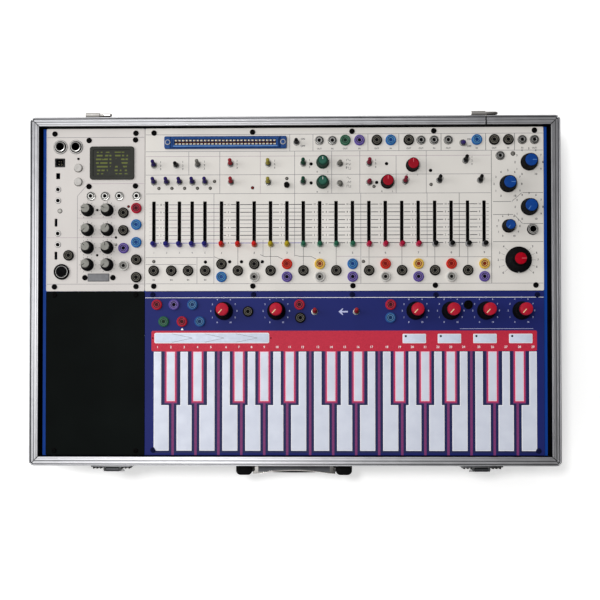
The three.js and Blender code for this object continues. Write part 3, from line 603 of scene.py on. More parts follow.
def touch_plates():
    """Plated key faces with fine bluish lines across each plate."""
    made = finish("touch_plate", Specular_IOR_Level=0.1)
    y = made.across("Y")
    rows = made.ramp(abs((y / 1.05) % 1.0 - 0.5), 0.16, 0.3)
    cloud = made.noise(18, 3)
    plate_colour = made.mix(made.ramp(cloud, 0.3, 0.7), tint("#D8DCE6"), tint("#E4E8F0"))
    base = made.mix(rows * 0.4, plate_colour, tint("#9AA2C4"))
    made.feed(Base_Color=base, Roughness=made.ramp(rows, 0, 1, 0.34, 0.5))
    made.feed(Metallic=made.ramp(cloud, 0.3, 0.7, 0.02, 0.06))
    made.bump(1 - rows, 0.03, 0.6)


PIN_PITCH = 2.54
BOARD_TOP = 76.3


def circuit_board():
    made = finish("circuit_board", Metallic=0.0, Specular_IOR_Level=0.04)
    x, y = made.across("X"), made.across("Y")
    tracks = made.ramp(abs((x / PIN_PITCH) % 1.0 - 0.5), 0.12, 0.16)
    tracks = tracks * made.ramp(abs((y / (PIN_PITCH * 2)) % 1.0 - 0.5), 0.1, 0.2)
    board = made.mix(tracks, tint("#2A7A4C"), tint("#134A2C"))
    # Above the board's top, the pots and parts are near black: painted shade that keeps the slider slots dark
    base = made.mix(made.across("Z") > BOARD_TOP, board, tint("#030303"))
    made.feed(Base_Color=base, Roughness=made.ramp(made.noise(4, 3), 0.3, 0.7, 0.3, 0.5))
    made.bump(tracks, 0.05, 0.5)


def display_screen():
    """A dark screen with rows of faint olive blocks."""
    made = finish("display_screen", Specular_IOR_Level=0.1)
    low, high = reach("display")
    x = (made.across("X") - low[0]) / (high[0] - low[0])
    y = (made.across("Y") - low[1]) / (high[1] - low[1])
    rows = made.ramp(abs((y * 9) % 1.0 - 0.5), 0.2, 0.24)
    words = made.ramp(made.noise(2.4, 0, (1, 4, 1)), 0.5, 0.56)
    inside = (x > 0.14) * (x < 0.86) * (y > 0.16) * (y < 0.84)
    lit = (1 - rows) * words * inside
    base = made.mix(lit * 0.6, tint("#32332F"), tint("#77803C"))
    made.feed(Base_Color=base, Roughness=made.ramp(made.noise(10, 3), 0.3, 0.7, 0.16, 0.3))
    made.bump(made.noise(25, 2), 0.05, 0.2)


def zinc_plate():
    """Galvanized sheet, in broad flakes."""
    made = finish("supply_sheet", Metallic=0.9)
    flakes = made.cells(9, "F1", 1)
    base = made.mix(0.5, flakes, tint("#9EA3A6"))
    soft = made.mix(0.8, base, tint("#A4A8AB"))
    made.feed(Base_Color=soft, Roughness=made.ramp(made.noise(5, 3), 0.3, 0.7, 0.35, 0.55))
    made.bump(made.noise(2, 3), 0.02, 0.4)


plain_finishes()
covering()
rubber()
touch_plates()
circuit_board()
display_screen()
zinc_plate()


# Case
HALF_X = reach("rim_frame")[1][0]
CENTRE_Y = middle("chassis")[1]
HALF_Y = 188.8
CORNER = 5.0
WALL = 6.4
FOOT = 5.0
TRAY_INSET = 1.5
TRAY_TOP = 88.3
FRONT = CENTRE_Y - HALF_Y
REAR = CENTRE_Y + HALF_Y
SEAM_X = 207.0
MITRE_GAP = 0.6
SEAM_GAP = 0.8
TO_FRONT = (math.pi / 2, 0, 0)
TO_REAR = (-math.pi / 2, 0, 0)
ALONG_X = (0, math.pi / 2, 0)
FOOT_INSET = 36
HANDLE_X = 55
HANDLE_Z = 56.0
GRIP_DROP = 22.4
HINGE_X = (-210.5, 206.5)
LATCH_X = (-197.0, 202.0)
# A latch pin's place from the front face and from the case's top
LATCH_PIN = (-4.2, -9)
RIVET_Z = 73
RIVETS_X = (-262, -150, -96, 0, 96, 150, 262)
RIVETS_Y = (-150, -75, 0, 75, 150)


def tray():
    """The covered box with its open inside, and a rubber foot under each corner."""
    shape = Shape()
    width, depth = (HALF_X - TRAY_INSET) * 2, (HALF_Y - TRAY_INSET) * 2
    walls = eased_block(width, depth, CORNER, eased(FOOT, TRAY_TOP, 1.6, 0.3))
    walls += inset_levels(width, depth, [(WALL, 0.6, TRAY_TOP), (WALL, 0.6, FOOT + WALL)])
    shape.add(stack(walls, 5, 0, CENTRE_Y), "covering")
    foot = turned([(9.2, 0), (10, 0.25), (10.4, 0.9), (11, 4.2), (11, 5.1)], 40)
    head = turned([(3.6, 0.25), (3.6, 0.35), (2.6, 0.9)], 20)
    for side_x in (-1, 1):
        for side_y in (-1, 1):
            x = side_x * (HALF_X - FOOT_INSET)
            y = CENTRE_Y + side_y * (HALF_Y - FOOT_INSET)
            shape.add(foot, "rubber", (x, y, 0))
            shape.add(head, "steel_dark", (x, y, -0.2))
    return shape


def handle_blocks():
    """The two moulded blocks that carry the handle, each with two screws in its face."""
    shape = Shape()
    face = FRONT + TRAY_INSET
    depth = 13.4
    sunk = 5
    head = [(2.6, -0.4), (2.6, 0), (2.2, 0.05), (1.1, 0.05), (0.9, -0.3)]
    for side in (-1, 1):
        x = side * HANDLE_X
        levels = eased_block(17.8, depth + sunk, sunk, eased(45, 67, 1.2, 1.6, 4))
        shape.add(stack(levels, 6, x, face + sunk - (depth + sunk) / 2), "black_plastic")
        for z in (49.6, 62.4):
            shape.add(turned(head, 20), "steel_dark", (x, face - depth + 0.15, z), TO_FRONT)
    return shape


def rim_spot(inset, z, side_x, side_y, angle, shift_x=0.0, shift_y=0.0):
    """A point of the rim's outline, on the arc at one of its corners."""
    hub = max(inset, CORNER)
    radius = max(CORNER - inset, 0.02)
    x = side_x * (HALF_X - hub + radius * math.cos(angle)) + shift_x
    y = CENTRE_Y + side_y * (HALF_Y - hub + radius * math.sin(angle)) + shift_y
    return x, y, z


RIM_PROFILE = [
    (0.5, 68), (0.5, 84.6), (0.3, 85.1), (0, 85.4), (0, 91.2), (0.2, 91.7), (0.7, 92), (1.3, 92),
    (1.6, 91.8), (1.7, 91.4), (1.75, 89.2), (2.5, 89.2), (2.55, 90.9), (3.4, 90.9), (3.45, 90.2),
    (3.8, 90.2), (3.85, 90.9), (4.9, 90.9), (4.95, 89.2), (5.65, 89.2), (5.7, 91.4), (5.8, 91.85),
    (6.0, 92), (7.95, 92), (8.05, 91.8), (8.1, 90.9), (8.5, 90.9), (8.55, 91.8), (8.65, 92), (9.6, 92),
    (9.85, 91.85), (10, 91.5), (10, 80), (9.9, 79.7), (8.7, 79.7), (8.6, 80), (8.6, 88.6), (1.2, 88.6),
    (1.2, 68), (1.1, 67.8), (0.6, 67.8),
]


def rail(stations, seam_gap=0.0):
    """One length of the extrusion, through its stations and, with a gap, to the seam.

    A station is a corner's two signs, an angle on its arc and a shift in plan.
    """
    rings = []
    for side_x, side_y, angle, shift_x, shift_y in stations:
        turn = math.radians(angle)
        rings.append([rim_spot(d, z, side_x, side_y, turn, shift_x, shift_y) for d, z in RIM_PROFILE])
    if seam_gap:
        side_y = stations[0][1]
        end = [(SEAM_X + seam_gap, CENTRE_Y + side_y * (HALF_Y - d), z) for d, z in RIM_PROFILE]
        rings = [*rings, end] if seam_gap < 0 else [end, *rings]
    return loft(rings)


def cross_rails(side_y, split=False):
    """The front or rear rail as one length, or as the two that meet at the seam."""
    left = [(-1, side_y, a, MITRE_GAP, 0) for a in (45, 60, 75, 90)]
    right = [(1, side_y, a, -MITRE_GAP, 0) for a in (90, 75, 60, 45)]
    if split:
        return [rail(left, -SEAM_GAP), rail(right, SEAM_GAP)]
    return [rail(left + right)]


def side_rail(side_x):
    low = [(side_x, -1, a, 0, MITRE_GAP) for a in (45, 30, 15, 0)]
    high = [(side_x, 1, a, 0, -MITRE_GAP) for a in (0, 15, 30, 45)]
    return rail(low + high)


def rivet(shape, at, turn):
    head = [(1.9, -0.6), (1.9, 0), (1.75, 0.28), (1.2, 0.45), (0.4, 0.5)]
    shape.add(turned(head, 18), "nickel", at, turn)


def hinge(shape, x):
    """A lift-off hinge half: leaf, rolled knuckle and open pin."""
    y, z = REAR + 2.62, CASE_TOP - 2.8
    leaf = [(-14.3, 0), (14.3, 0), (14.3, -15.4), (11.8, -17.9), (-11.8, -17.9), (-14.3, -15.4)]
    outline = [(x - 1.1 + px, py) for px, py in leaf]
    shape.add(plate([outline], 0, 1.2, 0.25), "chrome", (0, REAR, CASE_TOP - 0.4), TO_FRONT)
    length = 15.4
    knuckle = [(2.0, 0), (2.55, 0), (2.8, 0.3), (2.8, length - 0.3), (2.55, length), (2.0, length)]
    shape.add(turned(knuckle, 32), "chrome", (x - length, y, z), ALONG_X)
    pin = [(1.9, -1), (1.9, 10.8), (1.6, 12.4), (1.0, 13.2)]
    shape.add(turned(pin, 28), "chrome", (x, y, z), ALONG_X)
    curl = [(x - length + 0.02, y - 1.4, z), (x - 0.02, y - 1.4, z)]
    shape.add(swept(curl, [(-1.4, -2.4), (1.4, -2.4), (1.4, 1.2), (-1.4, 1.2)]), "chrome")
    for dx in (-10.2, 8.2):
        rivet(shape, (x + dx, REAR + 1.2, CASE_TOP - 12.4), TO_REAR)


def latch_plate(shape, x):
    """The fixed half of a latch: a ribbed plate with two ears and the pin between them."""
    top, bottom = CASE_TOP - 1, CASE_TOP - 21
    outline = rounded(45, top - bottom, 2.2, 4)
    shape.add(plate([outline], 0, 1.4, 0.3), "latch_metal", (x, FRONT, (top + bottom) / 2), TO_FRONT)
    pin_y, pin_z = FRONT + LATCH_PIN[0], CASE_TOP + LATCH_PIN[1]
    # The ribs are black: painted shade on the ribbed plate
    rib = slab(1.5, 2.3, bottom + 3, top, 0.6, 0.4)
    for dx in (-19.2, -15.4, -11.6, 11.6, 15.4, 19.2):
        shape.add(rib, "screw_black", (x + dx, FRONT - 2.0, 0))
    outline = [(0.6, -4.4), (0.6, 4.2), (-4.2, 2.6), (-6.3, 1.6), (-6.7, -0.6), (-5.6, -2.5)]
    ear = plate([outline], -0.9, 0.9, 0.25)
    for dx in (-8.5, 8.5):
        shape.add(ear, "latch_metal", (x + dx, FRONT, pin_z), (math.pi / 2, 0, math.pi / 2))
    pin = [(0.9, -9.9), (1.3, -9.7), (1.3, 9.7), (0.9, 9.9)]
    shape.add(turned(pin, 16), "steel_dark", (x, pin_y, pin_z), ALONG_X)
    for dx in (-17.3, 17.3):
        rivet(shape, (x + dx, FRONT - 1.4, bottom + 4.2), TO_FRONT)


# Outer and inner inset, corner or none, steps of a corner, lowest and highest point, look
# Dark strips of painted shade: one on the rim's inner wall, and one in each of the two slits of its top
RIM_SHADE_STRIPS = (
    (9.95, 10.3, 0.3, 2, 80, 91.1, "deep_black"),
    (1.8, 2.45, None, 6, 88.8, 90.5, "steel_dark"),
    (5.0, 5.6, None, 6, 88.8, 90.5, "steel_dark"),
)


def rim():
    """The extrusion in five lengths, with the fittings on it and dark strips of painted shade on its inner
    wall and in its slits.
    """
    shape = Shape(SHEET_CREASE)
    for outer, inner, corner, steps, low, high, look in RIM_SHADE_STRIPS:
        strip = []
        for d in (outer, inner):
            radius = corner if corner else max(CORNER - d, 0.1)
            strip.append(rounded((HALF_X - d) * 2, (HALF_Y - d) * 2, radius, steps, 0, CENTRE_Y))
        shape.add(plate(strip, low, high), look)
    for form in cross_rails(-1) + cross_rails(1, split=True):
        shape.add(form, "rim_along_x")
    # The side rails take the darker copy of the aluminium, painted shade
    for side in (-1, 1):
        shape.add(side_rail(side), "rim_along_y")
    for x in HINGE_X:
        hinge(shape, x)
    for x in LATCH_X:
        latch_plate(shape, x)
    for x in RIVETS_X:
        rivet(shape, (x, REAR - 0.5, RIVET_Z), TO_REAR)
        rivet(shape, (x, FRONT + 0.5, RIVET_Z), TO_FRONT)
    for y in RIVETS_Y:
        for side in (-1, 1):
            at = (side * (HALF_X - 0.5), CENTRE_Y + y, RIVET_Z)
            rivet(shape, at, (0, side * math.pi / 2, 0))
    return shape


def latch_lever(name):
    """The sprung lever of a latch, rolled round its pin, with a finger lip at its foot."""
    shape = Shape()
    x, y, z = middle(name)[0], FRONT + LATCH_PIN[0], CASE_TOP + LATCH_PIN[1]
    roll = [(1.45, -7.0), (2.2, -7.2), (2.5, -7.0), (2.5, 7.0), (2.2, 7.2), (1.45, 7.0)]
    shape.add(turned(roll, 28), "steel_dark", (x, y, z), ALONG_X)
    spine = [(-1.75, 0.4), (-1.75, -9), (-1.75, -17), (-2.0, -22), (-2.9, -27), (-4.0, -30.6), (-4.35, -32)]
    outer, inner = [], []
    for i, (v, w) in enumerate(spine):
        after, before = spine[min(i + 1, len(spine) - 1)], spine[max(i - 1, 0)]
        along = Vector((after[0] - before[0], after[1] - before[1])).normalized()
        side = Vector((along.y, -along.x)) * 0.72
        outer.append((v + side.x, w + side.y))
        inner.append((v - side.x, w - side.y))
    rings = []
    for dx in (-7.2, -6.9, 6.9, 7.2):
        trim = 0.25 if abs(dx) > 7 else 0
        ring = [(v + trim, w) for v, w in outer] + [(v - trim, w) for v, w in inner[::-1]]
        rings.append([(x + dx, y + v, z + w) for v, w in ring])
    shape.add(loft(rings), "latch_metal")
    # A black rib: painted shade on the lever's face
    rib = slab(8.6, 1.0, -24, -8, 0.45, 0.4)
    shape.add(rib, "screw_black", (x, y - 2.3, z))
    lip = rod([(x - 7.0, y - 4.3, z - 31.2), (x + 7.0, y - 4.3, z - 31.2)], 0.78, 12)
    shape.add(lip, "latch_metal")
    return shape


def chrome_bail():
    """The handle's chrome frame: a waisted deck, two arms and their pivots."""
    shape = Shape()
    y, z = middle("handle_bail")[1], HANDLE_Z
    half = 45.7
    front = [(-half + 2 * half * i / 24) for i in range(25)]
    outline = []
    for px in front:
        share = min(1.0, abs(px) / (half * 0.85))
        outline.append((px, -4.8 + 3.3 * (1 - share**2)))
    outline += [(half, 4.8), (-half, 4.8)]
    shape.add(plate([outline], -1.2, 1.2, 0.55), "chrome", (0, y, z))
    tread = [(px * 0.95, max(py + 1.5, -2.6)) for px, py in outline[1:24]]
    tread += [(half * 0.87, 3.6), (-half * 0.87, 3.6)]
    shape.add(plate([tread], 1.1, 1.35), "steel_dark", (0, y, z))
    lip = [(px, py + 0.7, 1.15) for px, py in outline[1:24]]
    shape.add(rod(lip, 0.55, 10), "chrome", (0, y, z))
    for side in (-1, 1):
        rims = eased(-27, 0.8, 3.2, 0.5, 5)
        arm = [(5 - min(inset, 0.6) * 2, 9.6 - inset * 1.2, 1.1, w) for inset, w in rims]
        shape.add(stack(arm, 4, side * (half - 2.5)), "chrome", (0, y, z))
        pivot = turned([(2.2, 0), (2.6, 0.3), (2.6, 4.7), (2.2, 5.1)], 24)
        shape.add(pivot, "steel_dark", (side * (half - 0.3), y, z), (0, side * math.pi / 2, 0))
    return shape


def grip():
    """The black grip, swelling to its middle, with moulded ribs near its ends."""
    shape = Shape()
    y = middle("handle_grip")[1]
    half = 40.4
    profile = [(3.6, -half), (4.4, -half + 0.5)]
    for i in range(1, 60):
        w = -half + 0.5 + (half * 2 - 1) * i / 60
        swell = 4.6 + 0.8 * (1 - (abs(w) / half) ** 2.2)
        groove = 0.22 if abs(abs(w) - 30) < 6 and i % 2 else 0.0
        profile.append((swell - groove, w))
    profile += [(4.4, half - 0.5), (3.6, half)]
    shape.add(turned(profile, 32), "soft_black", (0, y, HANDLE_Z - GRIP_DROP), ALONG_X)
    return shape


piece("tray_covering", tray(), "case_black", "case_tray")
piece("handle_mounts", handle_blocks(), "black_plastic")
piece("rim_rails", rim(), "rim_aluminium", "rim_frame")
for lever in ("latch_lever_left", "latch_lever_right"):
    piece(lever + "_sprung", latch_lever(lever), "bright_steel", lever, body=lever + "_body")
piece("handle_frame", chrome_bail(), "bright_steel", "handle_bail", body="handle_body")
piece("handle_sleeve", grip(), "black_plastic", "handle_grip", body="handle_body")


# Panels
PANEL_WIDTHS = {
    "program": MODULE_WIDTH, "blank": MODULE_WIDTH, "voice": WIDE_WIDTH, "keyboard": WIDE_WIDTH,
}
PANELS = {name: (*middle(name + "_panel"), width) for name, width in PANEL_WIDTHS.items()}


def spot(panel, across, up):
    """A place on a panel from its shares of the panel's width and height."""
    x, y, width = PANELS[panel]
    return x + (across - 0.5) * width, y + (up - 0.5) * PANEL_HEIGHT


def sheet(panel, look, holes=()):
    x, y, width = PANELS[panel]
    outline = rounded(width - PANEL_SEAM, PANEL_HEIGHT - PANEL_SEAM, 1.2, 4, x, y)
    form = plate([outline, *holes], PANEL_TOP - PANEL_THICKNESS, PANEL_TOP, 0.25)
    return Shape(SHEET_CREASE).add(form, look)


def hole(x, y, radius):
    return [(px, py) for px, py, _ in circle(radius, 0, 32, x, y)]


SCREW = (
    (3.0, 0), (3.0, 0.3), (2.5, 0.35), (2.5, 1.0), (2.25, 1.5), (1.5, 1.75), (1.125, 1.78), (1.0, 0.8),
    (0.25, 0.7),
)


def screws(shape, panel, places, look="screw_black"):
    """Pan-headed panel screws with a hexagon socket, each on its thin washer."""
    for place_at in places:
        shape.add(turned(SCREW, 24), look, (*spot(panel, *place_at), PANEL_TOP))


def lamp(shape, x, y, look, radius):
    """A small lens in its bezel."""
    rim = radius + 0.35
    bezel = [(rim, 0), (rim, 0.25), (radius + 0.15, 0.35), (radius, 0.2), (radius, 0.05)]
    dome = [(radius * share, z) for share, z in ((0.96, 0.1), (0.9, 0.5), (0.65, 0.8), (0.3, 0.95))]
    parts = ((turned, "deep_black", 20, bezel), (turned, look, 20, [*dome, (0.05, 1.0)]))
    spin(shape, (x, y, PANEL_TOP), parts)


SOCKET_TONES = {
    "k": "black", "r": "red", "y": "yellow", "b": "blue", "v": "violet", "w": "white", "g": "green",
    "c": "crimson", "n": "navy",
}
# Each part's form, look, sides, and radii with heights; the rings wear painted highlights and the cores
# painted shade
PATCH_PARTS = (
    (turned, "collar", 36,
     [(5.7, 0), (5.7, 1.9), (5.5, 2.4), (5.0, 2.8), (4.65, 2.85), (4.5, 2.6), (4.5, 1.5), (0.3, 1.5)]),
    (hollow_ring, "ring", 32, [(4.15, 1.4), (4.15, 2.6), (3.95, 2.8), (3.7, 2.7), (3.65, 1.4)]),
    (hollow_ring, "core", 32, [(3.65, 1.4), (3.65, 2.0), (2.6, 2.0), (2.6, 1.4)]),
    (hollow_ring, "ring", 28, [(2.6, 1.4), (2.6, 2.4), (2.4, 2.5), (2.15, 2.3), (2.15, 1.4)]),
    (turned, "core", 24, [(2.2, 1.45), (2.2, 1.6), (0.2, 1.6)]),
)
# Tones whose bore gets a black disc: painted shade at the bottom of the hole
DARK_BORES = "kvw"
# The black disc in the middle is painted shade in the bore
PIN_PARTS = (
    (turned, "steel_dark", 28, [(3.3, 0), (3.3, 0.4), (3.0, 0.5), (0.3, 0.5)]),
    (hollow_ring, "white_plastic", 28,
     [(2.95, 0.4), (2.95, 0.8), (2.7, 0.95), (2.2, 0.9), (2.05, 0.7), (2.05, 0.4)]),
    (turned, "deep_black", 20, [(2.1, 0.45), (2.1, 0.6), (0.2, 0.6)]),
)


def patch_socket(shape, x, y, tone):
    """A 4 mm patch socket: a coloured collar round a ring in a painted highlight, a sunk core in painted
    shade and the bore.
    """
    at = (x, y, PANEL_TOP)
    spin(shape, at, PATCH_PARTS, tone=SOCKET_TONES[tone] + "_")
    if tone in DARK_BORES:
        shape.add(turned([(1.7, 1.55), (1.7, 1.7), (0.2, 1.7)], 20), "deep_black", at)


def patch_sockets(shape, panel, places):
    for across, up, tone in places:
        patch_socket(shape, *spot(panel, across, up), tone)


def small_socket(shape, x, y, look="nickel"):
    """A 3.5 mm socket: a notched ring nut on a thin black washer that also gives the groove round the bush
    its painted shade, the plated bush, and a bore with a black floor of painted shade.
    """
    at = (x, y, PANEL_TOP)
    # The black disc under the nut shows as a thin washer at its rim, and as painted shade on the groove's
    # floor
    shape.add(turned([(4.95, 0), (4.95, 0.25), (4.7, 0.35), (0.3, 0.35)], 36), "deep_black", at)
    rings = []
    for radius, z in ((4.7, 0.3), (4.7, 1.2), (4.5, 1.5), (4.05, 1.55), (3.95, 1.4), (3.95, 0.3)):
        notch = 0.09 if radius > 4 else 0.0
        shares = [1 - notch * (i % 6 == 0) for i in range(48)]
        rings.append([(px * share, py * share, pz)
                      for share, (px, py, pz) in zip(shares, circle(radius, z, 48))])
    shape.add(loft(rings, closed=True), look, at)
    bush = [(3.2, 0.3), (3.2, 1.6), (3.0, 1.8), (2.1, 1.8), (1.8, 1.5), (1.75, 0.3)]
    # The bore's black floor is painted shade in the hole
    bore = [(1.8, 0.3), (1.8, 0.5), (0.2, 0.5)]
    spin(shape, at, ((hollow_ring, look, 32, bush), (turned, "deep_black", 20, bore)))


def toggle_base(shape, x, y):
    """The bush of a toggle switch with its washer and hexagon nut."""
    shape.add(turned([(3.5, 0), (3.5, 0.3), (3.2, 0.35)], 28), "toggle_metal", (x, y, PANEL_TOP))
    shape.add(hexagon(5.9, 0.35, 2.0, 0.35), "toggle_metal", (x, y, PANEL_TOP), (0, 0, 0.3))
    thread = [(2.5, 2.0)]
    for i in range(6):
        thread += [(2.55, 2.05 + i * 0.3), (2.3, 2.2 + i * 0.3)]
    thread += [(2.2, 3.8), (1.8, 3.8), (1.5, 3.0), (0.1, 2.9)]
    shape.add(turned(thread, 24), "steel_dark", (x, y, PANEL_TOP))


LEVER_REACH = 11.7
LEVER_SLEEVE = (
    (2.35, 2.6), (2.5, 2.9), (2.45, 3.6), (2.1, 5.0), (1.75, 6.2), (1.7, 7.2), (1.95, 8.4), (2.05, 9.6),
    (1.9, 10.6), (1.45, 11.3), (0.7, 11.65), (0.05, 11.7),
)


def toggle_lever(shape, look, at, tilt, far=LEVER_REACH):
    """A lever with its coloured sleeve, from its pivot: narrow at the bush, a ball at the tip."""
    share = far / LEVER_REACH
    sleeve = [(r, z * share) for r, z in LEVER_SLEEVE]
    stem = [(1.0, 0), (1.1, 3.0), (1.25, 5.0)]
    spin(shape, at, ((turned, "toggle_metal", 16, stem), (turned, look, 20, sleeve)), tilt)


def write(shape, text, size, look, x, y, z=PANEL_TOP):
    """Prints a plain figure or sign on a panel."""
    shape.add(figure(text, size), look, (x, y, z), flat=True)


def scale_ring(shape, x, y, radius, look, size=2.8, numbers=True, ticks=True, angles=None, tick=1.4):
    """Ticks and plain figures around a knob, clockwise from its lowest mark."""
    for i, angle in enumerate(angles or range(-150, 151, 30)):
        a = math.radians(90 - angle)
        near, far = radius, radius + tick
        ends = (math.cos(a) * near, math.sin(a) * near, math.cos(a) * far, math.sin(a) * far)
        if ticks:
            shape.line(x + ends[0], y + ends[1], x + ends[2], y + ends[3], 0.36, look)
        if numbers:
            far += size * 0.75
            write(shape, str(i), size, look, x + math.cos(a) * far, y + math.sin(a) * far)


def wave(shape, x, y, kind, size, look):
    """A small drawn wave: sine, triangle, saw or square."""
    curves = {
        "sine": [(i / 8, math.sin(i / 8 * 2 * math.pi) * 0.4) for i in range(9)],
        "triangle": [(0, -0.35), (0.25, 0.4), (0.75, -0.4), (1, 0.35)],
        "saw": [(0, -0.4), (0.5, 0.4), (0.5, -0.4), (1, 0.4), (1, -0.4)],
        "square": [(0, -0.4), (0, 0.4), (0.5, 0.4), (0.5, -0.4), (1, -0.4), (1, 0.4)],
    }
    points = [(x + px * size, y + py * size * 0.7) for px, py in curves[kind]]
    for (ax, ay), (bx, by) in zip(points, points[1:]):
        shape.line(ax, ay, bx, by, 0.3, look)


# Voice panel
LEAD_X = [PANELS["voice"][0] + (0.0227 + 0.03219 * i - 0.5) * WIDE_WIDTH for i in range(5)]
GRID_X = [PANELS["voice"][0] + (0.19314 + 0.04113 * i - 0.5) * WIDE_WIDTH for i in range(17)]
SLIDER_X = LEAD_X + GRID_X
SLOT_Y = PANELS["voice"][1] + (0.4106 - 0.5) * PANEL_HEIGHT
SLOT_LENGTH = 49.6
SLOT_WIDTH = 3.8
SCALE_LOW = 0.2945
SCALE_STEP = 0.02349
SCALE_LINES = 11
# Widths of the printed lines, from the ruled frames to the finest marks
RULE = 0.45
LEAD_RULE = 0.42
FINE_RULE = 0.34
CARD_WINDOW = (113.8, 9.6)
LEAD_PATCH = (0.0226, 0.067, 0.109, 0.152)
PATCH_ROW = 0.125
LEADS_UP = (0.16, 0.268)
# Rows of plain figures: where across, their size and look, and how far up
FIGURE_ROWS = ((GRID_X[::2], 3.0, "ink_dark", 0.233), (LEAD_X, 2.6, "ink_gray", 0.235))
LEAD_SIGNS_UP = 0.069
TOP_SIGNS_UP = 0.8695
TOP_ROW = 0.92


def voice_sheet():
    slots = [rounded(SLOT_WIDTH, SLOT_LENGTH, 0.5, 2, x, SLOT_Y) for x in SLIDER_X]
    window = rounded(*CARD_WINDOW, 0.5, 2, *middle("card_connector"))
    return sheet("voice", "light_paint", [*slots, window, hole(*middle("phones_jack"), 5.7)])


VOICE_ROWS = [
    ("ink_gray", 0.9595, 0, 1), ("ink_gray", 0.8558, 0, 1), ("ink_mauve", 0.8258, 0, 0.8694),
    ("ink_gray", 0.7123, 0, 0.8694), ("ink_gray", 0.5966, 0, 0.8694), ("ink_gray", 0.2069, 0, 0.174),
    ("ink_gray", 0.1638, 0, 0.1314), ("ink_mauve", 0.2115, 0.4806, 0.5428),
    ("ink_gray", 0.2069, 0.5428, 0.8694), ("ink_gray", 0.0459, 0, 1), ("ink_dark", 0.2984, 0.8709, 1),
    ("ink_dark", 0.4637, 0.8712, 0.9255), ("ink_dark", 0.4082, 0.9465, 1),
    ("ink_dark", 0.543, 0.8712, 0.9201), ("ink_dark", 0.5966, 0.9451, 1),
]
VOICE_COLUMNS = [
    ("ink_gray", 0.3647, 0.8558, 0.9595), ("ink_gray", 0.423, 0.8558, 0.9595),
    ("ink_gray", 0.561, 0.8558, 0.9595), ("ink_gray", 0.6384, 0.8558, 0.9595),
    ("ink_dark", 0.744, 0.8558, 0.9595), ("ink_dark", 0.8555, 0.8558, 0.9595),
    ("ink_dark", 0.9273, 0.8558, 0.9595), ("ink_gray", 0.1105, 0.7123, 0.8558),
    ("ink_gray", 0.1886, 0.5966, 0.8558), ("ink_mauve", 0.2906, 0.5966, 0.8558),
    ("ink_gray", 0.3768, 0.5966, 0.8558), ("ink_gray", 0.4699, 0.5966, 0.8558),
    ("ink_gray", 0.5405, 0.5966, 0.8558), ("ink_gray", 0.6314, 0.5966, 0.8258),
    ("ink_gray", 0.7068, 0.5966, 0.8558), ("ink_dark", 0.8694, 0.0459, 0.8558),
    ("ink_gray", 0.174, 0.0459, 0.5966), ("ink_gray", 0.1314, 0.0459, 0.2069),
    ("ink_gray", 0.2975, 0.2146, 0.3124), ("ink_gray", 0.3768, 0.2115, 0.5966),
    ("ink_gray", 0.5428, 0.0459, 0.5966), ("ink_gray", 0.7086, 0.2069, 0.5966),
    ("ink_dark", 0.7889, 0.2069, 0.5966),
]
# Slanting and short leads, from share to share of the panel
VOICE_LEADS = [
    (0.9255, 0.4637, 0.9465, 0.4082), (0.9201, 0.543, 0.9451, 0.5966), (0.2906, 0.223, 0.3, 0.2115),
    (0.3, 0.2115, 0.334, 0.2115), (0.334, 0.2115, 0.347, 0.195), (0.377, 0.2195, 0.39, 0.2115),
    (0.39, 0.2115, 0.418, 0.2115), (0.418, 0.2115, 0.431, 0.195), (0.174, 0.2115, 0.19, 0.195),
]
# The gaps between sliders that carry figures, and where across each gap they stand
FIGURE_GAPS = {0: 0.55, 5: 0.42, 8: 0.66, 10: 0.68, 11: 0.4, 12: 0.68, 14: 0.7, 16: 0.66, 18: 0.65, 20: 0.72}
MASTER_ANGLES = (-131, -111, -90, -69, -47, 47, 69, 90, 111, 131)


# Each drawn wave, and how far up the panel it stands
WAVES = (
    ("sine", 0.8), ("triangle", 0.775), ("square", 0.75), ("sine", 0.69), ("saw", 0.665), ("square", 0.64),
)


def scale_lines(shape, gap, left, right):
    """The ruled lines between two sliders, broken where plain figures stand."""
    edge, half_break, least = 2.2, 2.4, 0.6
    for step in range(SCALE_LINES):
        _, y = spot("voice", 0, SCALE_LOW + SCALE_STEP * step)
        even = step % 2 == 0
        if step == 0 and gap < 10:
            look = "ink_violet"
        elif even:
            look = "ink_dark" if gap > 4 else "ink_gray"
        else:
            look = "ink_gray" if gap > 4 else "ink_mauve"
        wide = 0.75 if even else RULE
        breaks = [left + edge, right - edge]
        if gap in FIGURE_GAPS and even:
            mid = left + (right - left) * FIGURE_GAPS[gap]
            write(shape, str(step), 2.6, "ink_dark", mid, y)
            breaks[1:1] = [mid - half_break, mid + half_break]
        for a, b in zip(breaks[::2], breaks[1::2]):
            if b - a > least:
                shape.line(a, y, b, y, wide, look)


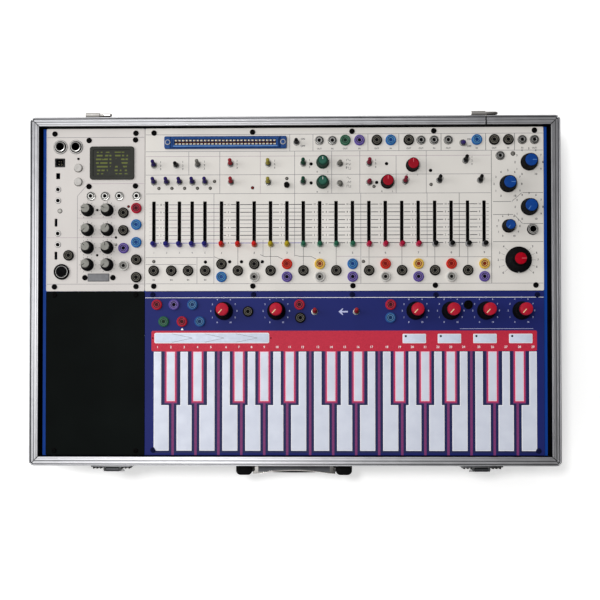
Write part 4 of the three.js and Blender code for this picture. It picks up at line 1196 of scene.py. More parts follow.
def voice_rules(shape):
    """The ruled lines round the panel's groups, and those beside its sliders."""
    for look, up, x0, x1 in VOICE_ROWS:
        ax, y = spot("voice", x0 + 0.002, up)
        bx, _ = spot("voice", x1 - 0.002, up)
        shape.line(ax, y, bx, y, RULE, look)
    for look, across, y0, y1 in VOICE_COLUMNS:
        x, ay = spot("voice", across, max(y0, 0.004))
        _, by = spot("voice", across, y1)
        shape.line(x, ay, x, by, RULE, look)
    for x0, y0, x1, y1 in VOICE_LEADS:
        shape.line(*spot("voice", x0, y0), *spot("voice", x1, y1), LEAD_RULE, "ink_dark")
    for gap, (left, right) in enumerate(zip(SLIDER_X, SLIDER_X[1:])):
        scale_lines(shape, gap, left, right)
    near, far = 2.2, 5
    for step in range(SCALE_LINES):
        _, y = spot("voice", 0, SCALE_LOW + SCALE_STEP * step)
        wide = 0.5 if step % 2 == 0 else FINE_RULE
        shape.line(SLIDER_X[0] - far, y, SLIDER_X[0] - near, y, FINE_RULE, "ink_mauve")
        shape.line(SLIDER_X[-1] + near, y, SLIDER_X[-1] + far, y, wide, "ink_dark")
    low, high = [spot("voice", 0, up)[1] for up in LEADS_UP]
    for x in GRID_X[1::2]:
        shape.line(x, low, x, high, 0.4, "ink_dark")


def voice_figures(shape):
    """Plain figures and signs by the sliders, sockets and switches, and small drawn waves."""
    for row, size, look, up in FIGURE_ROWS:
        for i, x in enumerate(row):
            write(shape, str(i + 1), size, look, x, spot("voice", 0, up)[1])
    for across in LEAD_PATCH:
        write(shape, "IN", 2.6, "ink_dark", *spot("voice", across, LEAD_SIGNS_UP))
    in_top_row = [across for across, _ in TOP_PATCH]
    in_top_row += [across for across, up in TOP_SMALL if up == TOP_ROW]
    for i, across in enumerate(in_top_row):
        write(shape, "IN" if i % 2 else "OUT", 2.4, "ink_dark", *spot("voice", across, TOP_SIGNS_UP))
    line_gap = 3.8
    for across, up, _, _ in VOICE_TOGGLES:
        x, y = spot("voice", across, up)
        marks = () if up < 0.7 else ("1", "2", "3") if up < 0.85 else ("ON", None, "OFF")
        for line, mark in enumerate(marks):
            if mark:
                write(shape, mark, 2.9, "ink_dark", x + 7.2, y + line_gap - line_gap * line)
    for kind, up in WAVES:
        wave(shape, *spot("voice", 0.508, up), kind, 4.2, "ink_dark")


def voice_print():
    shape = Shape()
    voice_rules(shape)
    voice_figures(shape)
    for name in ("blue_knob_1", "blue_knob_2", "blue_knob_3"):
        scale_ring(shape, *middle(name), 11.2, "ink_black", 3.1, ticks=False)
    scale_ring(shape, *middle("blue_knob_4"), 8.8, "ink_black", ticks=False)
    for i in range(3):
        near = 15.4 + i * 1.4
        scale_ring(shape, *middle("master_knob"), near, "ink_black", 3.1, i == 2, True, MASTER_ANGLES, 0.8)
    for name in ("green_knob_1", "green_knob_2", "red_knob_1", "red_knob_2"):
        scale_ring(shape, *middle(name), 8.2, "ink_dark", 2.6, ticks=False, angles=(-150, 150))
    return shape


VOICE_SCREWS = [
    (0.0226, 0.9704), (0.2711, 0.9731), (0.521, 0.9759), (0.7258, 0.9759), (0.9771, 0.9769),
    (0.0226, 0.0312), (0.272, 0.0312), (0.5228, 0.0322), (0.7288, 0.0339), (0.9793, 0.0339),
]
VOICE_LAMPS = [
    (0.0353, 0.6304), (0.0679, 0.6304), (0.0999, 0.6304), (0.1323, 0.6304), (0.1646, 0.6304),
    (0.1755, 0.6719), (0.2711, 0.632), (0.3573, 0.6882), (0.4183, 0.7767), (0.4183, 0.6604),
    (0.6074, 0.7767), (0.5827, 0.662), (0.576, 0.6375), (0.7175, 0.7341), (0.7187, 0.6484),
    (0.9233, 0.8351), (0.0226, 0.1823), (0.1527, 0.1785), (0.2137, 0.1796), (0.2435, 0.1796),
    (0.2958, 0.1796), (0.5491, 0.1801),
]
RED_LAMP = 6
WIDE_LAMP = 15
DARK_LAMPS = (8, 9, 10, 11, 13, 17, 18, 19, 20)
TOP_PATCH = [
    (0.504, "g"), (0.5395, "v"), (0.583, "k"), (0.618, "b"), (0.663, "k"), (0.833, "b"), (0.8765, "k"),
    (0.9115, "k"),
]
TOP_SMALL = [
    (0.439, 0.92), (0.4715, 0.92), (0.694, 0.92), (0.7265, 0.92), (0.762, 0.92), (0.9465, 0.92),
    (0.977, 0.92), (0.8915, 0.823),
]
VOICE_TOGGLES = [
    (0.0226, 0.77, "lever_violet", 1), (0.0786, 0.77, "lever_black", 0),
    (0.133, 0.772, "lever_gray", 1), (0.2155, 0.776, "lever_red", 1), (0.31, 0.776, "lever_yellow", 1),
    (0.398, 0.778, "lever_green", 1), (0.49, 0.776, "lever_gray", 0),
    (0.5635, 0.778, "lever_crimson", 1), (0.8045, 0.793, "lever_black", 1),
    (0.0226, 0.665, "lever_violet", 1), (0.055, 0.665, "lever_violet", 1),
    (0.0872, 0.665, "lever_violet", 1), (0.1195, 0.665, "lever_violet", 1),
    (0.1515, 0.665, "lever_violet", 1), (0.2165, 0.665, "lever_red", 1),
    (0.31, 0.663, "lever_yellow", 1), (0.398, 0.665, "lever_green", 1),
    (0.49, 0.657, "lever_gray", -1), (0.5635, 0.662, "lever_crimson", 0),
    (0.654, 0.667, "lever_crimson", 1), (0.739, 0.673, "lever_black", 1),
    (0.841, 0.673, "lever_black", 1), (0.381, 0.908, "lever_black", 0),
    (0.7975, 0.902, "lever_violet", -1),
]
TILT = 0.21
# How far up each of two rows stands, and the tones of its sockets
PAIRED_ROWS = ((0.165, "kkrybryry"), (0.087, "bwvwvwvwv"))


def voice_sockets():
    shape = Shape()
    patch_sockets(shape, "voice", [(across, TOP_ROW, tone) for across, tone in TOP_PATCH])
    patch_sockets(shape, "voice", [(across, PATCH_ROW, "k") for across in LEAD_PATCH])
    for i, x in enumerate(GRID_X):
        if i % 2:
            patch_socket(shape, x, spot("voice", 0, PATCH_ROW)[1], "k")
        else:
            for up, tones in PAIRED_ROWS:
                patch_socket(shape, x, spot("voice", 0, up)[1], tones[i // 2])
    for place_at in TOP_SMALL:
        small_socket(shape, *spot("voice", *place_at))
    return shape


def voice_switches():
    shape = Shape()
    for across, up, look, lean in VOICE_TOGGLES:
        x, y = spot("voice", across, up)
        toggle_base(shape, x, y)
        toggle_lever(shape, look, (x, y, PANEL_TOP + 1.4), (-TILT * lean, 0, 0))
    return shape


def voice_fittings():
    shape = Shape()
    screws(shape, "voice", VOICE_SCREWS)
    for i, place_at in enumerate(VOICE_LAMPS):
        look = "deep_black" if i in DARK_LAMPS else "lamp_red" if i == RED_LAMP else "lamp_gray"
        lamp(shape, *spot("voice", *place_at), look, 2.1 if i == WIDE_LAMP else 1.45)
    return shape


piece("voice_sheet", voice_sheet(), "light_panel", "voice_panel")
piece("voice_marks", voice_print(), "light_panel")
piece("voice_sockets", voice_sockets(), "black_plastic")
piece("voice_switches", voice_switches(), "bright_steel")
piece("voice_fittings", voice_fittings(), "black_plastic")


# Voice panel: controls with their own solids
KNOB_GAP = 0.4


def ribbed(profile, ribs, depth):
    """A turned form with flutes down its side, from radii, heights and each ring's share of the flute."""
    rings = []
    sides = ribs * 4
    for radius, z, share in profile:
        ring = []
        for i in range(sides):
            a = 2 * math.pi * i / sides
            r = max(radius - depth * share * (0.5 - 0.5 * math.cos(a * ribs)), 0.02)
            ring.append((r * math.cos(a), r * math.sin(a), z))
        rings.append(ring)
    return loft(rings)


def pointer(shape, at, angle, near, far, width, height, look):
    """A moulded line on a knob's cap; the angle runs clockwise from the rear."""
    x, y, z = at
    form = slab(width, far - near, 0, height, width * 0.3, 0.06)
    a = -math.radians(angle)
    mid = (near + far) / 2
    shape.add(form, look, (x - math.sin(a) * mid, y + math.cos(a) * mid, z), (0, 0, a))


def capped(shape, at, body, cap, line, looks, angle):
    """A knob: its fluted body, its turned cap, and the line on the cap, each with its look.

    The body has its ribs and their depth, the cap its sides, and the line its height, the radii
    where it starts and ends, its width and its thickness.
    """
    profile, ribs, depth = body
    crown, sides = cap
    level, *line_sizes = line
    x, y, z = at
    shape.add(ribbed(profile, ribs, depth), looks[0], at)
    shape.add(turned(crown, sides), looks[1], at)
    pointer(shape, (x, y, z + level), angle, *line_sizes, looks[2])
    return shape


def knob(x, y, size, looks, angle):
    """A fluted knob: skirt, barrel, coloured cap set into its top, and line."""
    radius, top, height, skirt, skirt_top, cap = size
    foot = min(radius, skirt - 0.5)
    level = height - 0.7
    body = [
        (skirt - 0.5, 0, 0), (skirt, 0.4, 0), (skirt, skirt_top * 0.75, 0), (skirt - 0.5, skirt_top, 0),
        (foot, skirt_top + 0.15, 0.2), (foot - 0.05, skirt_top + 1.2, 1),
        (top + (foot - top) * 0.3, level - 2.2, 1), (top, level - 0.9, 0.8), (top - 0.25, level - 0.2, 0.2),
        (top - 0.8, level, 0), (cap + 0.25, level, 0), (cap + 0.2, level - 0.6, 0), (0.3, level - 0.6, 0),
    ]
    crown = [
        (cap, level - 0.55), (cap, level), (cap - 0.25, level + 0.22), (cap - 0.7, level + 0.28),
        (cap * 0.5, level + 0.24), (0.2, level + 0.22),
    ]
    line = (level + 0.1, cap * 0.2, cap * 0.9, 0.6, 0.3)
    at = (x, y, PANEL_TOP + KNOB_GAP)
    return capped(Shape(), at, (body, 24, 0.45), (crown, 48), line, looks, angle)


# Radius of the barrel's foot and of its top, height, the skirt's radius and height, radius of the cap
KNOB_SIZES = {
    "green": (6.7, 5.9, 12, 6.9, 2.2, 4.2), "red": (7, 6.3, 11.5, 7.2, 2.2, 5.6),
    "middle": (7, 5.8, 12, 7.2, 2.2, 5.0), "large": (8.9, 7.4, 12, 9.2, 2.4, 6.4),
}
# Looks of each knob's body, cap and line; the green knob's body is a darker copy of its cap's green, painted
# shade on its sides
KNOB_LOOKS = {
    "green": ("knob_pine", "knob_green", "mark_white"), "red": ("knob_black", "knob_red", "mark_rose"),
    "blue": ("knob_black", "knob_blue", "mark_blue"),
}
KNOBS = (
    ("green_knob_1", "green", 0), ("green_knob_2", "green", 0), ("red_knob_1", "red", 0),
    ("red_knob_2", "red", 0), ("blue_knob_1", "large", 90), ("blue_knob_2", "large", 90),
    ("blue_knob_3", "large", 215), ("blue_knob_4", "middle", 215),
)


def master_knob():
    """The volume knob: a wide black skirt with a nub, a fluted barrel and a red cap."""
    x, y = middle("master_knob")
    at = (x, y, PANEL_TOP + KNOB_GAP)
    body = [
        (13.4, 0, 0), (14.1, 0.4, 0), (14.1, 2.4, 0), (13.5, 3.1, 0), (10.4, 4.9, 0), (8.6, 5.5, 0),
        (7.2, 5.7, 0), (6.95, 6.6, 1), (6.7, 10.6, 1), (6.4, 11.4, 0.4), (6.3, 11.5, 0), (0.2, 11.5, 0),
    ]
    crown = [(6.1, 11.4), (6.25, 11.8), (6.25, 12.5), (5.9, 12.9), (5.2, 13), (0.2, 13)]
    line = (12.9, 0.8, 6.1, 0.6, 0.28)
    looks = ("knob_black", "knob_scarlet", "mark_rose")
    shape = capped(Shape(), at, (body, 30, 0.4), (crown, 56), line, looks, 90)
    nub = [(x - 1.4, y - 13.2), (x + 1.4, y - 13.2), (x + 0.6, y - 14.05), (x - 0.6, y - 14.05)]
    return shape.add(plate([nub], 0.3, 3.0, 0.15), "mark_white", (0, 0, at[2]))


def slider(name, tone):
    """A slider: blade in the slot, and a waisted cap with a broad foot and a round head; the foot is a paler
    copy of the cap's colour, a painted highlight.
    """
    shape = Shape()
    x, y = middle(name)
    z = PANEL_TOP
    shape.add(slab(1.9, 3.9, -9, 5, 0.3, 0.15), "steel_dark", (x, y, z))
    foot = [(2.5, 0.5), (2.85, 0.7), (2.95, 1.2), (2.9, 2.4), (2.5, 3.2), (1.7, 4.2), (0.2, 4.3)]
    shape.add(turned(foot, 28), "base_" + tone, (x, y - 1.2, z))
    cap = [(1.8, 4.2), (1.55, 5.2), (1.45, 6.2), (1.7, 7.2)]
    for i in range(9):
        a = -math.pi / 3 + (math.pi / 2 + math.pi / 3) * i / 8
        cap.append((max(2.62 * math.cos(a), 0.05), 9.75 + 2.62 * math.sin(a)))
    shape.add(turned(cap, 28), "slider_" + tone, (x, y - 1.2, z))
    return shape


SLIDER_LOOKS = ["violet"] * 5 + ["red"] * 3 + ["yellow"] * 2 + ["green"] * 4 + ["crimson"] * 4 + ["black"] * 4


PUSH_BUTTONS = ("push_button_1", "push_button_2")


def push_button(name, radius, height, look):
    """A button: stem and flange under the panel, straight side and a slightly dished top."""
    low, high = reach(name)
    top = min(high[2], PANEL_TOP + height)
    side = radius - 0.05
    profile = [
        (radius / 2, low[2] + 0.1), (radius / 2, PANEL_TOP - 3.2), (radius + 0.8, PANEL_TOP - 3.15),
        (radius + 0.8, PANEL_TOP - 2.45), (side, PANEL_TOP - 2.4), (side, top - 0.5),
        (radius - 0.2, top - 0.15), (radius - 0.6, top - 0.02), (radius * 0.55, top - 0.2), (0.2, top - 0.25),
    ]
    return Shape().add(turned(profile, 36), look, (*middle(name), 0))


def square_ring(outer, inner, low, high):
    """A ring's section from its radii and heights."""
    return [(outer, low), (outer, high), (inner, high), (inner, low)]


JACKS = ((0.1435, 0.8865), (0.3005, 0.8865))
JACK_SIDE = 15.4
JACK_LIFT = 0.3
PHONES_PARTS = (
    (hollow_ring, "screw_black", 40,
     [(6.1, 0), (6.1, 0.5), (5.7, 0.7), (5.7, 2.2), (5.4, 2.6), (4.0, 2.6), (3.5, 2.2), (3.5, 0.2)]),
    # Two pale plastic rings on the nut: painted highlights standing in for its shine
    (hollow_ring, "gray_plastic", 40, square_ring(5.4, 4.9, 2.5, 2.95)),
    (hollow_ring, "gray_plastic", 40, square_ring(4.1, 3.6, 2.5, 2.95)),
    (hollow_ring, "steel_dark", 36, square_ring(5.3, 3.5, -24.2, 0.0)),
)
JACK_PARTS = (
    # A black ring under each washer, painted shadow round it; the plated washer is in white plastic, its
    # shine a painted highlight
    (hollow_ring, "deep_black", 40, square_ring(7.6, 5.3, 0, 0.3)),
    (hollow_ring, "white_plastic", 40, [(7.2, 0.2), (7.2, 0.6), (7.0, 0.75), (6.6, 0.75), (6.5, 0.2)]),
    (hollow_ring, "nickel", 40, [(5.4, 0), (5.4, 2.1), (5.2, 2.5), (4.6, 2.6), (4.3, 2.3), (4.3, 0)]),
    (hollow_ring, "deep_black", 40, [(4.3, -2.4), (4.3, 1.6), (3.5, 1.6), (3.5, -18), (4.0, -18)]),
)


def jack_body(shape, at):
    """The square body of a jack under its panel, with a round bore that ends above its floor."""
    outline = rounded(JACK_SIDE, JACK_SIDE, 1.2, 8)
    bore = [(x, y) for x, y, _ in circle(3.6, 0, len(outline))]
    levels = ((outline, -24), (outline, -2.5), (bore, -2.5), (bore, -22))
    shape.add(loft([[(x, y, z) for x, y in ring] for ring, z in levels]), "black_plastic", at)


def phones_jack():
    """The phones jack: bush, a black ring nut with pale plastic rings on it as painted highlights, and body
    under the panel.
    """
    shape = Shape()
    at = (*middle("phones_jack"), PANEL_TOP + JACK_LIFT)
    spin(shape, at, PHONES_PARTS)
    jack_body(shape, at)
    return shape


def jack_pair():
    """Two 6.35 mm jacks: plated washers drawn in white as painted highlights on a black ring of painted
    shadow, nuts round black bushes, and one body below.
    """
    shape = Shape()
    spots = [(*spot("program", *shares), PANEL_TOP + JACK_LIFT) for shares in JACKS]
    for at in spots:
        spin(shape, at, JACK_PARTS)
    for at in spots:
        jack_body(shape, at)
    (left, y, z), (right, _, _) = spots
    bridge = slab(right - left - JACK_SIDE + 0.2, 12, -22, -4, 0.5, 0.3)
    return shape.add(bridge, "black_plastic", ((left + right) / 2, y, z))


def usb_socket():
    """The square data socket: folded shell, dark throat and the tongue with its contacts."""
    shape = Shape()
    x, y = middle("usb_socket")
    z = PANEL_TOP
    shell, throat = (10.8, 9.2), (8.2, 6.8)
    steps = ((shell, 0, -16), (shell, 0, 0.1), (shell, -0.4, 0.28), (throat, 0.3, 0.28), (throat, 0, 0.1),
             (throat, 0, -14))
    levels = [(width + more, depth + more, 1.1, level) for (width, depth), more, level in steps]
    shape.add(stack(levels), "shell_dark", (x, y, z))
    shape.add(slab(5.6, 3.2, -14.5, -1.0, 0.5, 0.25), "deep_black", (x, y, z))
    contact = slab(1.0, 0.3, -13, -1.6, 0.1, 0.05)
    for dx in (-1.3, 1.3):
        for dy in (-1.68, 1.68):
            shape.add(contact, "brass_contact", (x + dx, y + dy, z))
    return shape


CONTACTS = 28
CONTACT_PITCH = 3.96
CONTACT_SECTION = ((-0.3, -1.05), (0.3, -1.05), (0.3, 1.05), (-0.3, 1.05))
CONNECTOR_SCREW = (
    (hollow_ring, "gray_plastic", 28, [(2.9, 0), (2.9, 0.9), (2.7, 1.2), (2.2, 1.2), (2.1, 0)]),
    (turned, "connector_blue", 24, [(2.2, 0), (2.2, 0.8), (1.8, 1.0), (0.2, 1.0)]),
)


def connector_body(shape, at, width, depth, top, slot_w, slot_d):
    """The connector's flange and bevelled shell round an open slot, and its body below."""
    levels = inset_levels(width, depth, ((0.1, 1.6, 0.32), (0.1, 1.6, 2.6), (0.5, 1.6, 3.0)))
    levels.append((width - 12.5, depth - 0.8, 1.2, 3.0))
    for inset, z in ((0.2, top - 2.4), (1.6, top - 0.5), (2.0, top)):
        levels.append((width - 13 - inset * 2, depth - inset * 1.6, 1.2, z))
    levels.append((slot_w + 1.6, slot_d + 1.6, 0.8, top))
    levels += [(slot_w, slot_d, 0.5, z) for z in (top - 1.0, -7.4)]
    shape.add(stack(levels, 5), "connector_blue", at)
    sleeve = [(slot_w + more, slot_d + more, 0.5, z) for more, z in ((3, -9), (3, 0.4), (0, 0.4), (0, -9))]
    shape.add(stack(sleeve, closed=True), "connector_blue", at)
    # A dark block inside the slot: painted shade in its depth
    shape.add(slab(slot_w - 0.6, 2.2, -7.4, top - 3.4, 0.2, 0.2), "slot_maroon", at)


def connector_contacts(shape, at, top, slot_d):
    """Two rows of bowed contacts, each with a pale crown that is a painted highlight."""
    x, y, z = at
    bends = ((0.15, -6.6), (0.9, top - 4.2), (1.25, top - 2.2), (0.55, top - 0.9))
    # The pale crowns are painted highlights on the contacts
    crown = slab(2.4, 1.5, top - 2.4, top - 1.3, 0.25, 0.15)
    for i in range(CONTACTS):
        cx = x + (i - (CONTACTS - 1) / 2) * CONTACT_PITCH
        for side in (-1, 1):
            bow = [(cx, y + side * (slot_d / 2 - inset), z + level) for inset, level in bends]
            shape.add(swept(bow, CONTACT_SECTION), "brass_contact")
            shape.add(crown, "contact_white", (cx, y + side * (slot_d / 2 - 1.0), z))


def card_connector():
    """The blue card connector, with two screws and darker ends."""
    shape = Shape()
    low, high = reach("card_connector")
    x, y = middle("card_connector")
    z = PANEL_TOP
    width, depth, top = high[0] - low[0], high[1] - low[1], high[2] - PANEL_TOP
    slot_w, slot_d = width - 23, 5.8
    connector_body(shape, (x, y, z), width, depth, top, slot_w, slot_d)
    connector_contacts(shape, (x, y, z), top, slot_d)
    end = slab((width - 13 - slot_w) / 2 - 4.4, depth - 6, top - 0.1, top + 0.04, 1, 0)
    for side in (-1, 1):
        spin(shape, (x + side * (width / 2 - 4), y, z + 3.0), CONNECTOR_SCREW)
        shape.add(end, "connector_dark", (x + side * (slot_w + width - 13) / 4, y, z))
    line = slab(width - 20, 0.9, top - 0.1, top + 0.04, 0.4, 0)
    return shape.add(line, "mark_blue", (x, y - depth / 2 + 2.2, z))


def display():
    """The display's cover plate with its window and the screen behind it."""
    low, high = reach("display")
    z0, z1 = low[2], high[2]
    steps = ((0.05, 3, z0), (0.05, 3, z1 - 0.35), (0.4, 2.6, z1), (3.4, 1.6, z1), (3.9, 1.2, z1 - 0.7))
    levels = inset_levels(high[0] - low[0], high[1] - low[1], steps)
    return Shape().add(stack(levels, 6, *middle("display")), "display_screen")


def moving(name, tail, shape, slot):
    """A piece that stands for a node and rides on the node's own body."""
    piece(name + tail, shape, slot, name, body=name + "_body")


for knob_name, size_name, knob_angle in KNOBS:
    tone = knob_name.split("_")[0]
    form = knob(*middle(knob_name), KNOB_SIZES[size_name], KNOB_LOOKS[tone], knob_angle)
    moving(knob_name, "_fluted", form, "knob_" + tone)
moving("master_knob", "_fluted", master_knob(), "knob_red")
for i, tone in enumerate(SLIDER_LOOKS):
    name = f"slider_{i + 1:02d}"
    moving(name, "_cap", slider(name, tone), "slider_" + tone)
moving("voice_button", "_cap", push_button("voice_button", 3.0, 5.0, "screw_black"), "black_plastic")
for name in PUSH_BUTTONS:
    moving(name, "_cap", push_button(name, 4.2, 2.3, "gray_plastic"), "gray_plastic")
piece("phones_socket", phones_jack(), "black_plastic", "phones_jack")
piece("audio_sockets", jack_pair(), "bright_steel", "jack_pair")
piece("data_socket", usb_socket(), "bright_steel", "usb_socket")
piece("card_shell", card_connector(), "connector_blue", "card_connector")
piece("display_cover", display(), "display_dark", "display")


# Keyboard panel
KEY_RUNS = (3, 4, 3, 4, 3)
KEY_LEFT = 0.02316 * WIDE_WIDTH
NATURAL_PITCH = 0.05746 * WIDE_WIDTH
NATURAL_WIDTH = 0.038 * WIDE_WIDTH
STEM_WIDTH = 0.0188 * WIDE_WIDTH
SHARP_WIDTH = 0.0213 * WIDE_WIDTH
KEY_BOTTOM = 0.0281 * PANEL_HEIGHT
KEY_SHOULDER = 0.306 * PANEL_HEIGHT
SHARP_END = 0.3296 * PANEL_HEIGHT
KEY_TOP = 0.631 * PANEL_HEIGHT
PAD = 0.4
LABEL_SHARES = (0.676, 0.7635, 0.852, 0.941)
KNOB_SHARES = (0.199, 0.331, 0.679, 0.767, 0.855, 0.943)
KNOB_ROW = 0.879
LEVER_ROW = 0.874
LEVER_SHARES = (0.427, 0.531)
# Shares of the panel's width and height where the red band starts and ends
BAND_ACROSS = (0.0172, 0.9812)
BAND_UP = (0.6339, 0.7583)
NUMBERS_UP = 0.6585
# Each ink stands a little higher than the ones under it
NAVY_LAYER, JOINT_LAYER, STEM_LAYER = 0.03, 0.044, 0.048
FRAME_LAYER, ROSE_LAYER, BAND_LAYER = 0.052, 0.056, 0.062
LINE_HALF = 1.3
FRAME_HALF = 2.3
STRIP_WIDTH = 0.28856 * WIDE_WIDTH
STRIP_LEFT = 0.02455 * WIDE_WIDTH
STRIP_UP = 0.7143 * PANEL_HEIGHT
ARROWS = ((0.155, 0.33), (0.44, 0.605), (0.71, 0.895))


def key_stems():
    """Each key's kind, its left edge, and the left edge and the width of its stem."""
    keys = []
    first = 0
    for naturals in KEY_RUNS:
        step = (NATURAL_PITCH * (naturals - 1) + NATURAL_WIDTH - STEM_WIDTH) / (naturals - 1)
        gap = (step - STEM_WIDTH - SHARP_WIDTH) / 2
        for i in range(naturals * 2 - 1):
            left = KEY_LEFT + NATURAL_PITCH * (first + i / 2)
            stem = KEY_LEFT + NATURAL_PITCH * first + step * (i // 2)
            if i % 2:
                keys.append(("sharp", left, stem + STEM_WIDTH + gap, SHARP_WIDTH))
            else:
                keys.append(("natural", left, stem, STEM_WIDTH))
        first += naturals
    return keys


def key_outline(kind, left, stem, wide, inset=0.0):
    near, far = stem + inset, stem + wide - inset
    rear = KEY_TOP - inset
    if kind == "sharp":
        front = SHARP_END + inset
        return [(near, front), (far, front), (far, rear), (near, rear)]
    x0, x1 = left + inset, left + NATURAL_WIDTH - inset
    near, far = max(near, x0), min(far, x1)
    front, shoulder = KEY_BOTTOM + inset, KEY_SHOULDER - inset
    corners = [(x0, front), (x1, front), (x1, shoulder), (far, shoulder), (far, rear), (near, rear),
               (near, shoulder), (x0, shoulder)]
    kept = []
    for corner in corners:
        if not kept or math.dist(corner, kept[-1]) > 0.3:
            kept.append(corner)
    return kept


def keyboard_keys():
    shape = Shape(SHEET_CREASE)
    x, y, width = PANELS["keyboard"]
    at = (x - width / 2, y - PANEL_HEIGHT / 2, PANEL_TOP)
    for key in key_stems():
        edge_look = "key_edge_pink" if key[0] == "sharp" else "key_edge"
        shape.add(plate([key_outline(*key)], 0, PAD - 0.1, 0.08), edge_look, at)
        shape.add(plate([key_outline(*key, 0.8)], PAD - 0.15, PAD, 0.05), "touch_plate", at)
    return shape


def area(shape, x0, x1, y0, y1, look, height=PRINT):
    shape.add(slab(x1 - x0, y1 - y0, 0, height, 0.1, 0.0), look, ((x0 + x1) / 2, (y0 + y1) / 2, PANEL_TOP))


def key_ground(shape, keys, left, foot):
    """The printed ground round the keys: navy, a red band behind them, and plum and rose lines."""
    band_left, band_right = [left + share * WIDE_WIDTH for share in BAND_ACROSS]
    band_low, band_high = [foot + share * PANEL_HEIGHT for share in BAND_UP]
    ground = (band_left + 3, band_right - 1.5, foot + KEY_BOTTOM - 2.4, band_low + 0.4)
    area(shape, *ground, "ink_navy", NAVY_LAYER)
    red = slab(band_right - band_left, band_high - band_low, 0, BAND_LAYER, 1.6, 0)
    shape.add(red, "ink_red", ((band_left + band_right) / 2, (band_low + band_high) / 2, PANEL_TOP))
    rear = band_low + 0.3
    shoulder, front = foot + KEY_SHOULDER, foot + SHARP_END
    naturals = [key for key in keys if key[0] == "natural"]
    for first, second in zip(naturals, naturals[1:]):
        mid = left + (first[1] + NATURAL_WIDTH + second[1]) / 2
        area(shape, mid - LINE_HALF, mid + LINE_HALF, foot + 0.4, shoulder + 3, "ink_plum", JOINT_LAYER)
    for key, after in zip(keys, keys[1:]):
        if key[0] == after[0] == "natural":
            mid = left + (key[2] + STEM_WIDTH + after[2]) / 2
            area(shape, mid - LINE_HALF, mid + LINE_HALF, shoulder, rear, "ink_plum", STEM_LAYER)
    for kind, _, stem, wide in keys:
        if kind == "sharp":
            x0, x1 = left + stem, left + stem + wide
            area(shape, x0 - FRAME_HALF, x1 + FRAME_HALF, front - 2.4, rear, "ink_plum", FRAME_LAYER)
            area(shape, x0 - LINE_HALF, x1 + LINE_HALF, front - LINE_HALF, rear, "ink_rose", ROSE_LAYER)


KEYBOARD_SIGNS = (
    ([(-1.6, -1.2), (1.6, -1.2), (0, 1.3)], "ink_white", (0.0943, 0.7695)),
    ([(-5.4, 0), (-1.2, 3.6), (-0.4, 3.6), (-2.0, 0.8), (4.6, 0.8), (4.6, -0.8), (-2.0, -0.8), (-0.4, -3.6),
      (-1.2, -3.6)], "ink_pale", (0.4995, 0.874)),
)


def keyboard_print():
    """The keyboard's ground, the keys' numbers, and the few signs behind them."""
    shape = Shape()
    cx, cy, width = PANELS["keyboard"]
    left, foot = cx - width / 2, cy - PANEL_HEIGHT / 2
    keys = key_stems()
    key_ground(shape, keys, left, foot)
    for i, (_, _, stem, wide) in enumerate(keys):
        at = (left + stem + wide / 2, foot + NUMBERS_UP * PANEL_HEIGHT, PANEL_TOP + 0.04)
        write(shape, str(i + 1), 3.4, "ink_white", *at)
    _, y = spot("keyboard", 0, 0.9605)
    shape.line(left + 0.5, y, left + width - 0.5, y, 0.5, "ink_white")
    for share in KNOB_SHARES:
        scale_ring(shape, *spot("keyboard", share, KNOB_ROW), 11.0, "ink_pale", size=2.5, ticks=False)
    for outline, look, place_at in KEYBOARD_SIGNS:
        shape.add(plate([outline], 0, PRINT), look, (*spot("keyboard", *place_at), PANEL_TOP))
    ax, y = spot("keyboard", 0.79, 0.7695)
    bx, _ = spot("keyboard", 0.972, 0)
    shape.line(ax, y, bx, y, 0.4, "ink_pale")
    return shape


def pad(shape, width, depth, corner, rim, at):
    """A raised pad: a pale plate set in its edge."""
    shape.add(slab(width, depth, 0, PAD - 0.1, corner, 0.08), "key_edge", at)
    inner = slab(width - rim * 2, depth - rim * 2, PAD - 0.15, PAD, corner * 2 / 3, 0.05)
    shape.add(inner, "strip_plate", at)


def touch_strip():
    """The long touch strip with its three drawn arrowheads, and four label plates."""
    shape = Shape()
    cx, cy, width = PANELS["keyboard"]
    left, foot = cx - width / 2, cy - PANEL_HEIGHT / 2
    x = left + STRIP_LEFT + STRIP_WIDTH / 2
    y = foot + STRIP_UP
    pad(shape, STRIP_WIDTH, 11.4, 1.8, 0.9, (x, y, PANEL_TOP))
    for start, end in ARROWS:
        x0, x1 = x + (start - 0.5) * STRIP_WIDTH, x + (end - 0.5) * STRIP_WIDTH
        for side in (-1, 1):
            ends = (x0, y + side * 4.6, x1, y + side * 0.12)
            shape.line(*ends, 0.35, "ink_gray", PANEL_TOP + PAD - 0.02, 0.04)
    for share in LABEL_SHARES:
        bx, by = spot("keyboard", share, 0.71)
        pad(shape, 25.2, 10.2, 0.9, 0.7, (bx, by, PANEL_TOP))
        shape.add(disc(1.2, 0, 0.12, 0.03, 20), "deep_black", (bx - 9.2, by + 2.6, PANEL_TOP + PAD - 0.1))
    for dx in (-0.5, 0.5):
        shape.add(disc(0.8, 0, 0.12, 0.03, 16), "deep_black", (x + dx * (STRIP_WIDTH + 3.6), y, PANEL_TOP))
    return shape


KEYBOARD_PATCH = [
    (0.031, 0.9175, "c"), (0.074, 0.9175, "v"), (0.1205, 0.9175, "n"), (0.048, 0.8145, "g"),
    (0.0943, 0.8145, "c"), (0.139, 0.8145, "n"), (0.26, 0.8755, "k"), (0.389, 0.917, "c"),
    (0.391, 0.837, "k"), (0.617, 0.916, "c"), (0.6165, 0.837, "n"),
]


KEYBOARD_SCREWS = [
    (0.0203, 0.9784), (0.2738, 0.9784), (0.521, 0.978), (0.7302, 0.9751), (0.9827, 0.9751), (0.0216, 0.0322),
    (0.9844, 0.0285),
]


